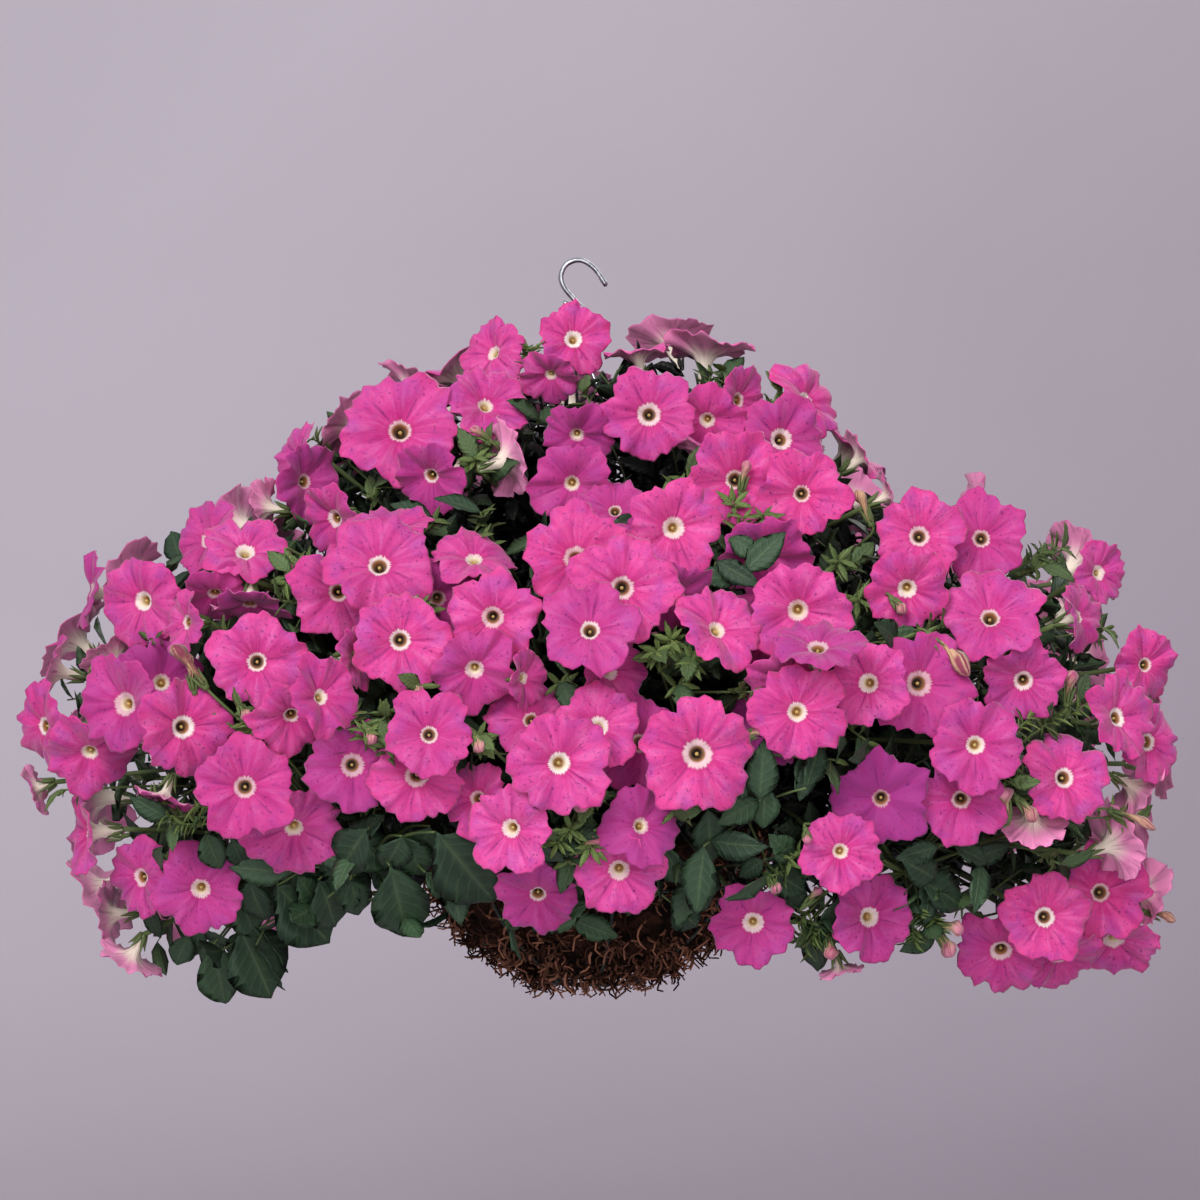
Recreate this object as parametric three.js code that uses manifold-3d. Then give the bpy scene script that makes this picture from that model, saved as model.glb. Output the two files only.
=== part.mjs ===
// A petunia hanging basket. A galvanised S-hook carries three hanger wires, and they carry a
// round-bottomed wire basket with a moss liner and soil. Twenty-five flowering stems grow out of
// the soil. Each is a green leafy stem and the spray of pink blooms at its end.
// Millimetres, +Z up. The origin is the crown of the hook, on the inside of its upper loop.
// The front faces -Y, and the picture that the places come from was taken looking along +Y.
import * as THREE from 'three';
import { mergeVertices } from 'three/addons/utils/BufferGeometryUtils.js';
import Module from 'manifold-3d';

const wasm = await Module();
wasm.setup();

const V = (x, y, z) => new THREE.Vector3(x, y, z);
const UP = V(0, 0, 1);
const TURN = 2 * Math.PI;
const GOLDEN_TURN = 0.381966;
const GAP = 0.3;

// Joining: how far pieces are nudged, how flat what lies nearly flat is made, and what is stout enough
const NUDGE = 0.2;
const NUDGE_TRIES = 14;
const FLATNESS = 0.04;
const STOUT = 0.006;

// Hook and hanger wires
const HOOK_WIRE = 3.8;
const HOOK_CENTRE_LINE = [
  [19.5, -17], [9.8, -3.4], [0, 1.9], [-9.8, -1.1], [-14.2, -9.4], [-12.8, -17], [-6, -26], [2.2, -35],
  [5.2, -42.4], [3, -50.6], [-3.8, -55.1], [-10.5, -51.4], [-12.8, -43], [-10.5, -29],
];
const HOOK_STEPS = 24;
const HOOK_LOWEST = { x: -3.8, z: -55.1 };
const HANGER_WIRE = 2.5;
const HANGER_TURNS = [0.25, 7 / 12, 11 / 12];
const EYE_INNER_RADIUS = 5;
const EYE_SPACING = 2.9;
const EYE_TURNS = { from: 0.96, to: 0.14, steps: 9 };
const LOOP_CURVE = 0.24;
const RIM_BEND_TURNS = { from: 0.07, to: -0.5, steps: 5 };

// Wire basket
const BASKET_X = 9;
const RIM_Z = -388;
const BASKET_RADIUS = 150;
const BASKET_DEPTH = 150;
const RIM_WIRE = 4;
const RIB_WIRE = 3;
const RIB_COUNT = 8;
const RIB_FIRST_TURN = 1 / 48;
const RIB_DROPS = [0, 0.24, 0.5, 0.73, 0.9];
const RING_DROP = 0.5;
const BOTTOM_RING_RADIUS = 36;
const BOWL = { power: 1.7, fullness: 0.998 };

// Liner and soil
const LINER_TOP = 9;
const LINER_THICKNESS = 12;
const LINER_BULGE = 5;
const LINER_FLOOR_LIFT = 3;
const LINER_GAP = 1.6;
const LINER_SIDES = 24;
const FIBRE_COUNT = 36;
const FIBRE_LENGTH = 15;
const FIBRE_RADIUS = 1.7;
const FIBRE_SUNK = 3.5;
const SOIL_TOP_Z = -406;
const SOIL_GAP = 0.6;
const SOIL_CROWN = 5;
const HOLE_DEPTH = 34;
const HOLE_ABOVE = 27;

// Main stems
const STEM_RADIUS = 2.6;
const HOLE_RADIUS = STEM_RADIUS + 1.8;
const RIM_CLEAR_Z = RIM_Z + 18;
const RIM_BERTH = 40;
const FOOT_REACH = { least: 26, most: 112, part: 0.55 };
const KNEE_RISE = 14;
const STEM_ARCH = { middle: 12, end: 8 };
const SWAYS = [0, 0.012, -0.012, 0.024, -0.024, 0.04, -0.04, 0.06, -0.06, 0.08, -0.08];

// Blooms, leaves and stalks, as parts of a bloom's radius or a leaf's length
const THROAT = { radius: 0.15, height: -0.26, bottom: -0.5, plainBottom: -0.4 };
const PETAL_TIP = { radius: 1, height: -0.05 };
const PETAL_NOTCH = { radius: 0.85, height: 0.04 };
const NECK = { radius: 0.16, height: -0.46 };
const TUBE_END = { radius: 0.09, height: -0.95 };
const TUBE_BEND = 0.7;
const STALK_RADIUS = 1.2;
const TWIG_RADIUS = 1.3;
const HUB_RADIUS = 3.6;
const HUB_HEIGHT = 30;
const HUB_TAPER = 0.7;
const HUB_STALKS = { first: -0.36, last: 0.42 };
const BYPASSES = [12, 24, 38, 54];
const LEAF_WIDTH = 0.52;
const LEAF_THICKNESS = 1.6;
const LEAF_SUNK = 0.8;
const LEAF_RIDGE = 0.25;
const LEAVES_A_TUFT = 2;
const LEAF_SPACING = 10;
const LEAF_TRIES = 9;
const LEAF_SPREAD = { least: 0.12, most: 0.2, hanging: 0.03 };
const HANGING_LEAF = 36;
const TWIG_STARTS = [0.85, 0.7, 0.55, 0.4, 0.2, 0];
const TUFT_RETREATS = [0, 0.08, 0.16, 0.26];

// Blooms that meet another spray's move in depth by these steps, then shrink by these
const DEPTH_SHIFTS = [0, 8, -8, 16, -14, 24, -24, 32, -34, 42, 54];
const SHRINKS = [1, 0.92, 0.84, 0.74];

// The picture: 1200 pixels square, looking along +Y from 3 m away
const PICTURE_CENTRE = 600;
const VIEW = { x: 15, z: -253, distance: 3000, mmPerPixel: 0.75 };

// The outline of the crown of leaves and blooms at each height: its left and right edge, and how
// far it stands out to the front and back
const CROWN_ROWS = [
  { z: -30, left: -34, right: 26, depth: 24 },
  { z: -66, left: -83, right: 124, depth: 92 },
  { z: -103, left: -176, right: 191, depth: 170 },
  { z: -141, left: -225, right: 214, depth: 216 },
  { z: -178, left: -252, right: 290, depth: 252 },
  { z: -216, left: -341, right: 400, depth: 286 },
  { z: -253, left: -379, right: 416, depth: 312 },
  { z: -291, left: -392, right: 427, depth: 332 },
  { z: -328, left: -424, right: 442, depth: 346 },
  { z: -366, left: -424, right: 442, depth: 350 },
  { z: -403, left: -405, right: 441, depth: 338 },
  { z: -441, left: -380, right: 436, depth: 300 },
  { z: -478, left: -366, right: 442, depth: 256 },
  { z: -516, left: -362, right: 439, depth: 226 },
  { z: -550, left: -330, right: 400, depth: 200 },
];
const CROWN_ROUNDNESS = 2.3;
const CROWN_EDGE = 0.985;
const DEEPEST_Y = 120;
const CROWN_HEART = V(BASKET_X, 0, -350);
const HUB_REACH = 0.56;
const SHADED_BEHIND = 14;
const SIDE_ON_LEAN = 60;

// The flowering stems that show from the front. Each bloom is the pixel of its throat, its width in
// pixels, the way it leans in the picture (0 right, 90 up), how far it leans away from facing the
// front in degrees, and how many millimetres it sits behind the crown's outline. Each tuft of
// leaves is a pixel, the length of its leaves in millimetres, and how far it sits behind.
const FRONT_STEMS = [
  {
    name: 'hook',
    blooms: [
      [573, 340, 72, 60, 15, 0], [551, 374, 62, 250, 40, 14], [495, 354, 72, 150, 50, 0],
      [485, 407, 84, 60, 35, 8], [512, 458, 80, 20, 112, 25], [577, 434, 68, 270, 25, 22],
      [572, 483, 84, 270, 10, 12],
    ],
    tufts: [[524, 350, 20, 5], [585, 392, 24, 25], [476, 458, 26, 12]],
  },
  {
    name: 'upper_left',
    blooms: [
      [400, 432, 118, 90, 18, 0], [432, 475, 76, 225, 30, 16], [302, 458, 74, 180, 58, 6],
      [304, 482, 78, 0, 45, 10], [337, 518, 74, 200, 45, 18], [388, 534, 84, 90, 58, 6],
      [262, 507, 60, 170, 100, 10], [344, 421, 80, 145, 106, 20], [414, 380, 70, 60, 108, 20],
    ],
    tufts: [[375, 487, 26, 24], [420, 378, 20, 5], [432, 520, 32, 34]],
  },
  {
    name: 'left_shoulder',
    blooms: [
      [210, 540, 80, 150, 50, 0], [245, 554, 86, 80, 42, 4], [380, 567, 108, 90, 28, 0],
      [337, 592, 96, 0, 8, 10], [437, 598, 80, 300, 20, 30], [215, 592, 70, 270, 55, 12],
      [250, 603, 76, 270, 62, 20],
    ],
    tufts: [[290, 572, 24, 6], [268, 598, 28, 14], [418, 600, 20, 6]],
  },
  {
    name: 'left',
    blooms: [
      [145, 601, 92, 190, 28, 0], [95, 592, 80, 170, 68, 10], [60, 672, 72, 165, 80, 10],
      [190, 622, 66, 180, 55, 8], [257, 662, 96, 0, 4, 0], [127, 704, 98, 180, 25, 0],
      [160, 683, 90, 45, 12, 34], [46, 726, 84, 180, 52, 4], [90, 751, 92, 260, 35, 10],
      [112, 652, 70, 120, 115, 22],
    ],
    tufts: [[172, 612, 24, 16], [215, 636, 22, 10], [92, 664, 20, 8]],
  },
  {
    name: 'lower_left',
    blooms: [
      [182, 727, 98, 0, 25, 8], [33, 790, 52, 200, 105, 5], [245, 787, 100, 0, 4, 0],
      [292, 828, 102, 290, 30, 12], [352, 765, 94, 0, 10, 22], [291, 714, 82, 290, 35, 10],
      [321, 697, 82, 20, 42, 0], [354, 657, 68, 0, 55, 12], [165, 795, 60, 250, 75, 14],
    ],
    tufts: [[380, 722, 24, 8], [244, 712, 20, 8], [290, 872, 44, 14]],
  },
  {
    name: 'left_skirt',
    blooms: [
      [201, 888, 90, 270, 12, 0], [143, 877, 80, 190, 40, 4], [92, 832, 88, 185, 70, 0],
      [105, 915, 72, 185, 98, 0], [130, 960, 66, 240, 100, 0],
    ],
    tufts: [[168, 818, 32, 8], [60, 790, 20, 0], [160, 868, 30, 12], [222, 950, 48, 10], [256, 945, 52, 24]],
  },
  {
    name: 'middle_left',
    blooms: [
      [474, 561, 86, 90, 52, 6], [493, 617, 92, 270, 8, 4], [400, 640, 98, 0, 8, 0],
      [475, 668, 84, 270, 25, 22], [429, 735, 88, 60, 10, 4], [415, 777, 96, 270, 10, 0],
      [522, 678, 62, 0, 52, 14],
    ],
    tufts: [[480, 512, 34, 14], [478, 536, 34, 10], [420, 686, 22, 10], [478, 736, 22, 14]],
  },
  {
    name: 'middle',
    blooms: [
      [576, 559, 104, 90, 12, 4], [622, 588, 106, 0, 5, 0], [590, 631, 96, 90, 22, 2],
      [607, 671, 86, 20, 38, 6], [673, 528, 94, 0, 8, 0], [615, 512, 70, 90, 30, 24],
      [674, 592, 80, 270, 35, 18],
    ],
    tufts: [
      [625, 528, 32, 12], [560, 682, 34, 34], [690, 655, 26, 12], [655, 650, 26, 12], [680, 684, 30, 24],
    ],
  },
  {
    name: 'middle_low',
    blooms: [
      [559, 763, 106, 0, 8, 0], [598, 728, 86, 90, 18, 6], [512, 828, 88, 200, 20, 2],
      [478, 800, 76, 180, 25, 16], [538, 893, 84, 270, 30, 10], [530, 722, 84, 120, 25, 12],
    ],
    tufts: [[568, 832, 26, 8], [590, 800, 22, 18], [452, 872, 50, 16], [565, 862, 34, 4]],
  },
  {
    name: 'right_of_middle_low',
    blooms: [
      [697, 754, 116, 0, 3, 0], [640, 745, 96, 180, 10, 14], [619, 869, 90, 270, 15, 0],
      [640, 826, 82, 20, 25, 14], [753, 922, 84, 270, 8, 0],
    ],
    tufts: [[704, 846, 50, 8], [672, 812, 26, 6], [690, 885, 44, 16]],
  },
  {
    name: 'upper_right',
    blooms: [
      [649, 415, 94, 90, 5, 0], [637, 350, 68, 100, 92, 0], [706, 346, 92, 85, 95, 0],
      [737, 400, 72, 0, 50, 4], [707, 420, 74, 250, 20, 20], [712, 450, 66, 70, 112, 12],
      [780, 440, 88, 30, 20, 4], [804, 402, 84, 20, 58, 0],
    ],
    tufts: [[690, 474, 26, 10], [782, 392, 20, 4], [722, 372, 20, 4]],
  },
  {
    name: 'right_shoulder',
    blooms: [
      [735, 480, 98, 60, 5, 2], [801, 494, 88, 0, 3, 0], [866, 454, 64, 38, 92, 0],
      [892, 494, 56, 25, 92, 4], [765, 555, 96, 270, 25, 28],
    ],
    tufts: [[748, 545, 36, 6], [862, 556, 30, 26], [782, 518, 24, 8], [745, 572, 40, 8]],
  },
  {
    name: 'middle_right',
    blooms: [
      [716, 631, 92, 45, 40, 2], [798, 610, 102, 270, 6, 6], [826, 620, 66, 20, 50, 12],
      [788, 680, 86, 270, 30, 14], [815, 649, 92, 90, 55, 4], [797, 712, 98, 0, 4, 0],
      [770, 726, 80, 200, 38, 30], [765, 628, 80, 200, 30, 24],
    ],
    tufts: [[752, 692, 24, 14], [806, 788, 40, 10], [760, 800, 44, 16]],
  },
  {
    name: 'right',
    blooms: [
      [919, 537, 90, 90, 12, 4], [981, 539, 86, 90, 8, 0], [907, 588, 86, 270, 15, 6],
      [990, 619, 102, 90, 28, 0], [1023, 680, 82, 270, 12, 10],
    ],
    tufts: [[1042, 566, 26, 8], [896, 640, 36, 6], [866, 596, 30, 26], [940, 628, 24, 8]],
  },
  {
    name: 'far_right',
    blooms: [
      [1097, 573, 64, 10, 35, 0], [1077, 617, 70, 20, 62, 4], [1144, 665, 72, 10, 25, 0],
      [1115, 718, 86, 20, 42, 6], [1146, 742, 84, 0, 35, 0], [1142, 792, 72, 330, 108, 6],
    ],
    tufts: [[1062, 550, 22, 4], [1106, 628, 18, 0], [1078, 700, 28, 12], [1052, 716, 28, 14]],
  },
  {
    name: 'right_of_middle',
    blooms: [
      [869, 683, 88, 180, 15, 2], [920, 684, 106, 0, 10, 0], [975, 745, 96, 0, 4, 0],
      [963, 800, 90, 270, 10, 4], [881, 798, 94, 270, 8, 30],
    ],
    tufts: [[868, 742, 34, 24], [1010, 782, 22, 6], [836, 760, 32, 20]],
  },
  {
    name: 'right_skirt',
    blooms: [
      [1063, 778, 92, 20, 18, 0], [1030, 828, 78, 255, 115, 8], [1116, 842, 80, 20, 118, 6],
      [1150, 892, 68, 355, 112, 8], [1104, 895, 96, 0, 8, 0], [1116, 940, 90, 270, 45, 8],
      [1044, 917, 90, 0, 6, 0], [1002, 950, 92, 270, 28, 14], [1060, 955, 84, 290, 45, 12],
    ],
    tufts: [[1060, 864, 28, 10], [936, 878, 42, 14], [980, 862, 38, 20], [1136, 818, 20, 0]],
  },
  {
    name: 'lower_right',
    blooms: [
      [840, 851, 82, 0, 5, 4], [868, 917, 88, 0, 20, 4], [841, 972, 44, 285, 100, 0],
    ],
    tufts: [[818, 925, 32, 4], [772, 872, 40, 14], [815, 950, 28, 6]],
  },
];

// Leafy stems that trail under the blooms with none of their own: where each ends, and its tufts
const TRAILING_STEMS = [
  {
    name: 'trailing_left',
    tip: [366, 868, 34],
    tufts: [[345, 850, 40, 20], [408, 928, 38, 8], [318, 905, 44, 18], [385, 898, 34, 26]],
  },
  {
    name: 'trailing_front',
    tip: [590, 872, 40],
    tufts: [[556, 910, 44, 2], [604, 915, 38, 18], [640, 905, 36, 20], [512, 918, 34, 26]],
  },
  {
    name: 'trailing_right',
    tip: [905, 872, 46],
    tufts: [[926, 922, 30, 6], [896, 938, 34, 14], [962, 905, 32, 20]],
  },
];

// The back is laid out by rule: blooms on a golden-turn spiral over the crown's back half
const BACK_STEMS = [
  { name: 'back_top', turn: 0.25, z: -150 },
  { name: 'back_upper_left', turn: 0.37, z: -250 },
  { name: 'back_upper_right', turn: 0.13, z: -250 },
  { name: 'back_middle', turn: 0.25, z: -320 },
  { name: 'back_left', turn: 0.41, z: -420 },
  { name: 'back_right', turn: 0.09, z: -420 },
  { name: 'back_low', turn: 0.25, z: -430 },
];
const BACK_BLOOMS = 76;
const BACK_BLOOM_WIDTH = 68;
const BACK_TURNS = [-0.045, 0.545];
const BACK_ROWS = 14;
const BACK_TUFTS = 14;
const BACK_LEAF = 34;
const BACK_SUNK = { least: 0.02, most: 0.1 };

// Colours
const PALETTE = {
  galvanised: { color: '#b9bcc0', roughness: 0.35, metalness: 1 },
  basketWire: { color: '#2f3a34', roughness: 0.5, metalness: 0.6 },
  moss: { color: '#5a3d2b', roughness: 1, metalness: 0 },
  soil: { color: '#2c211a', roughness: 1, metalness: 0 },
  leaf: { color: '#3f5f3a', roughness: 0.7, metalness: 0 },
  petal: { color: '#d9479d', roughness: 0.6, metalness: 0 },
};

// A repeatable number from 0 to 1 for each pair of whole numbers
function chance(a, b) {
  const wave = Math.sin(a * 12.9898 + b * 78.233) * 43758.5453;
  return wave - Math.floor(wave);
}

const mix = (a, b, t) => a + (b - a) * t;

// Solids: a closed geometry as a solid, and a solid as a named mesh
function solid(geometry) {
  const bare = geometry.clone();
  bare.deleteAttribute('normal');
  bare.deleteAttribute('uv');
  const merged = mergeVertices(bare, 1e-4);
  return new wasm.Manifold(new wasm.Mesh({
    numProp: 3,
    vertProperties: new Float32Array(merged.attributes.position.array),
    triVerts: new Uint32Array(merged.index.array),
  }));
}

// The largest body of a solid, with sealed hollows filled and loose scraps dropped
function oneBody(whole) {
  return whole.decompose().reduce((largest, next) => (next.volume() > largest.volume() ? next : largest));
}

// The height of a solid's slimmest triangle
function slimmest(made) {
  const { vertProperties, triVerts } = made.getMesh();
  const corner = (k) => new THREE.Vector3().fromArray(vertProperties, 3 * triVerts[k]);
  let least = Infinity;
  for (let k = 0; k < triVerts.length; k += 3) {
    const facet = new THREE.Triangle(corner(k), corner(k + 1), corner(k + 2));
    const longest = Math.max(
      facet.a.distanceTo(facet.b), facet.b.distanceTo(facet.c), facet.c.distanceTo(facet.a));
    least = Math.min(least, 2 * facet.getArea() / longest);
  }
  return least;
}

// Pieces joined to one body, one after another. Each is nudged by up to a tenth of a millimetre, a few
// ways in turn, until no sliver of a triangle is left where it crosses the others.
function fused(pieces) {
  return pieces.reduce((whole, piece, k) => {
    let best = null;
    for (let attempt = 0; attempt < NUDGE_TRIES; attempt++) {
      const nudge = [0, 1, 2].map((axis) => NUDGE * (chance(k, 3 * attempt + axis) - 0.5));
      const made = oneBody(whole.add(piece.translate(nudge))).asOriginal().simplify(FLATNESS);
      const height = slimmest(made);
      if (!best || height > best.height) best = { made, height };
      if (height > STOUT) break;
    }
    return best.made;
  });
}

const part = new THREE.Group();

function addPiece(name, made, finish) {
  const { vertProperties, triVerts } = made.getMesh();
  const geometry = new THREE.BufferGeometry();
  geometry.setAttribute('position', new THREE.BufferAttribute(new Float32Array(vertProperties), 3));
  geometry.setIndex(new THREE.BufferAttribute(new Uint32Array(triVerts), 1));
  geometry.computeVertexNormals();
  const mesh = new THREE.Mesh(geometry, new THREE.MeshStandardMaterial(PALETTE[finish]));
  mesh.name = name;
  part.add(mesh);
}

function smoothLine(points) {
  return new THREE.CatmullRomCurve3(points, false, 'centripetal');
}

// A round wire with few sides along a smooth line, with one step from each point to the next
function wireGeometry(points, radius, sides) {
  const section = new THREE.Shape();
  for (let k = 0; k < sides; k++) {
    const angle = TURN * (k + 0.5) / sides;
    const [x, y] = [radius * Math.cos(angle), radius * Math.sin(angle)];
    if (k === 0) section.moveTo(x, y);
    else section.lineTo(x, y);
  }
  section.closePath();
  const extrudePath = smoothLine(points);
  extrudePath.getUtoTmapping = (u) => u;
  const steps = points.length - 1;
  return new THREE.ExtrudeGeometry(section, { steps, extrudePath, bevelEnabled: false });
}

// The two directions square to a wire's last stretch that its section is laid out in
function endFrame(points) {
  const line = smoothLine(points);
  line.getUtoTmapping = (u) => u;
  const last = points.length - 1;
  const { normals, binormals } = line.computeFrenetFrames(last, false);
  return { side: normals[last], over: binormals[last] };
}

// A point at a turn round the basket's axis
function roundBasket(turn, radius, z) {
  return V(BASKET_X + radius * Math.cos(TURN * turn), radius * Math.sin(TURN * turn), z);
}

// S-hook: one length of galvanised wire bent into an S
const hookLine = smoothLine(HOOK_CENTRE_LINE.map(([x, z]) => V(x, 0, z)));
const hookSolid = solid(wireGeometry(hookLine.getPoints(HOOK_STEPS), HOOK_WIRE / 2, 6));

// Hanger wires: an eye threaded on the hook's lower loop, a straight run, and a J round the rim
function hangerPoints(turn, x) {
  const eyeRadius = EYE_INNER_RADIUS + HANGER_WIRE / 2;
  const offset = x - HOOK_LOWEST.x;
  const loopRise = LOOP_CURVE * offset * offset;
  const eyeZ = HOOK_LOWEST.z + loopRise + HOOK_WIRE / 2 + GAP - EYE_INNER_RADIUS;
  const side = Math.sin(TURN * turn) > 0 ? 1 : -1;
  const points = [];
  for (let k = 0; k <= EYE_TURNS.steps; k++) {
    const angle = TURN * (mix(EYE_TURNS.from, EYE_TURNS.to, k / EYE_TURNS.steps) - 1 / 4);
    points.push(V(x, -side * eyeRadius * Math.cos(angle), eyeZ + eyeRadius * Math.sin(angle)));
  }
  const bend = (RIM_WIRE + HANGER_WIRE) / 2 + GAP;
  for (let k = 0; k <= RIM_BEND_TURNS.steps; k++) {
    const angle = TURN * mix(RIM_BEND_TURNS.from, RIM_BEND_TURNS.to, k / RIM_BEND_TURNS.steps);
    const reach = BASKET_RADIUS + bend * Math.cos(angle);
    points.push(roundBasket(turn, reach, RIM_Z + bend * Math.sin(angle)));
  }
  return points;
}

const hangerSolids = HANGER_TURNS.map((turn, k) => {
  const x = HOOK_LOWEST.x + [0, -EYE_SPACING, EYE_SPACING][k];
  return solid(wireGeometry(hangerPoints(turn, x), HANGER_WIRE / 2, 5));
});

// Wire basket: a rim, ribs that round under to a small bottom ring, and a ring between
function basketRadius(drop) {
  return BASKET_RADIUS * Math.sqrt(1 - BOWL.fullness * drop ** BOWL.power);
}

function ribPoints(turn) {
  const points = RIB_DROPS.map((drop) => (
    roundBasket(turn, basketRadius(drop), RIM_Z - drop * BASKET_DEPTH)));
  for (const reach of [1, 0.8]) {
    points.push(roundBasket(turn, BOTTOM_RING_RADIUS * reach, RIM_Z - BASKET_DEPTH));
  }
  return points;
}

function ringGeometry(radius, wire, z, sides, steps) {
  return new THREE.TorusGeometry(radius, wire / 2, sides, steps).translate(BASKET_X, 0, z);
}

const ringZ = RIM_Z - RING_DROP * BASKET_DEPTH;
const basketSolid = fused([
  solid(ringGeometry(BASKET_RADIUS, RIM_WIRE, RIM_Z, 4, LINER_SIDES)),
  solid(ringGeometry(basketRadius(RING_DROP), RIB_WIRE, ringZ, 3, LINER_SIDES)),
  solid(ringGeometry(BOTTOM_RING_RADIUS, RIB_WIRE, RIM_Z - BASKET_DEPTH, 4, RIB_COUNT)),
  ...Array.from({ length: RIB_COUNT }, (_, k) => (
    solid(wireGeometry(ribPoints(RIB_FIRST_TURN + k / RIB_COUNT), RIB_WIRE / 2, 3)))),
]);

// Moss liner: a shell of matted fibres that fills the basket and bulges out between the wires
const LINER_DROPS = [LINER_TOP / BASKET_DEPTH, 0.27, RING_DROP, 0.73, 0.92];
const LINER_INNER_DROPS = [LINER_DROPS[0], 0.36, 0.72];
const LINER_FLOOR_Z = RIM_Z - BASKET_DEPTH + RIB_WIRE / 2 + GAP + LINER_GAP;

function linerOuter(turn, drop) {
  const fromRib = Math.abs(((turn - RIB_FIRST_TURN) * RIB_COUNT % 1 + 1) % 1 - 0.5) * 2;
  const betweenRibs = Math.sin(Math.PI / 2 * (1 - fromRib)) ** 2;
  const clearance = RIB_WIRE / 2 + LINER_GAP;
  const bulge = drop === RING_DROP || drop === LINER_DROPS[0] ? 0 : LINER_BULGE * betweenRibs;
  return basketRadius(drop) - clearance + bulge;
}

// The liner's inside, from its top edge down to its middle, drawn in by a gap for what fills it
function linerInside(gap) {
  const inside = LINER_INNER_DROPS.map((drop) => new THREE.Vector2(
    basketRadius(drop) - LINER_THICKNESS - RIB_WIRE - gap,
    RIM_Z - drop * (BASKET_DEPTH - LINER_THICKNESS)));
  inside.push(new THREE.Vector2(0, LINER_FLOOR_Z + LINER_THICKNESS + gap));
  return inside;
}

function linerGeometry() {
  const profile = [new THREE.Vector2(0, LINER_FLOOR_Z)];
  for (const drop of [...LINER_DROPS].reverse()) {
    const lift = LINER_FLOOR_LIFT * drop ** 4;
    profile.push(new THREE.Vector2(basketRadius(drop), RIM_Z - drop * BASKET_DEPTH + lift));
  }
  profile.push(...linerInside(0));
  const geometry = new THREE.LatheGeometry(profile, LINER_SIDES);
  geometry.rotateX(Math.PI / 2);
  const place = geometry.attributes.position;
  for (let k = 0; k < place.count; k++) {
    const ring = k % profile.length;
    const turn = Math.atan2(place.getY(k), place.getX(k)) / TURN;
    const outerRing = ring >= 1 && ring <= LINER_DROPS.length;
    if (!outerRing) continue;
    const drop = LINER_DROPS[LINER_DROPS.length - ring];
    const radius = linerOuter(turn, drop);
    place.setX(k, radius * Math.cos(TURN * turn));
    place.setY(k, radius * Math.sin(TURN * turn));
  }
  return geometry.translate(BASKET_X, 0, 0);
}

// A closed skin over a chain of rings, each a list of points in step with the turns they lie at.
// It starts at a single point and ends at one or at a triangle. Two rings are zipped in the order
// of their turns.
function skinGeometry(rings) {
  const points = rings.flatMap((ring) => ring.points);
  const faces = [];
  let first = 0;
  for (let k = 0; k + 1 < rings.length; k++) {
    const [a, b] = [rings[k], rings[k + 1]];
    const second = first + a.points.length;
    const [m, n] = [a.points.length, b.points.length];
    let [i, j] = [m === 1 ? 1 : 0, n === 1 ? 1 : 0];
    while (i < m || j < n) {
      const turnA = i < m ? (a.turns[i + 1] ?? a.turns[0] + 1) : Infinity;
      const turnB = j < n ? (b.turns[j + 1] ?? b.turns[0] + 1) : Infinity;
      const stepA = turnA < turnB - 1e-6 || (turnA < turnB + 1e-6 && m < n);
      const [fromA, fromB] = [first + (m === 1 ? 0 : i % m), second + (n === 1 ? 0 : j % n)];
      if (stepA) faces.push(fromA, fromB, first + (i + 1) % m);
      else faces.push(fromA, fromB, second + (j + 1) % n);
      if (stepA) i += 1;
      else j += 1;
    }
    first = second;
  }
  if (rings[rings.length - 1].points.length === 3) faces.push(first, first + 2, first + 1);
  const geometry = new THREE.BufferGeometry().setFromPoints(points);
  geometry.setIndex(faces);
  return geometry;
}

// Two directions square to a direction, turned about it
function squareTo(direction, turn) {
  const helper = Math.abs(direction.z) < 0.9 ? UP : V(1, 0, 0);
  const side = new THREE.Vector3().crossVectors(helper, direction).normalize();
  const over = new THREE.Vector3().crossVectors(direction, side);
  const [c, s] = [Math.cos(TURN * turn), Math.sin(TURN * turn)];
  return [
    side.clone().multiplyScalar(c).addScaledVector(over, s),
    over.clone().multiplyScalar(c).addScaledVector(side, -s),
  ];
}

function ring(centre, side, over, radii, firstTurn = 0) {
  const turns = radii.map((_, k) => firstTurn + k / radii.length);
  const points = radii.map(([radius, height, along], k) => {
    const angle = TURN * turns[k];
    return centre.clone()
      .addScaledVector(side, radius * Math.cos(angle))
      .addScaledVector(over, radius * Math.sin(angle))
      .addScaledVector(along, height);
  });
  return { points, turns };
}

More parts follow.
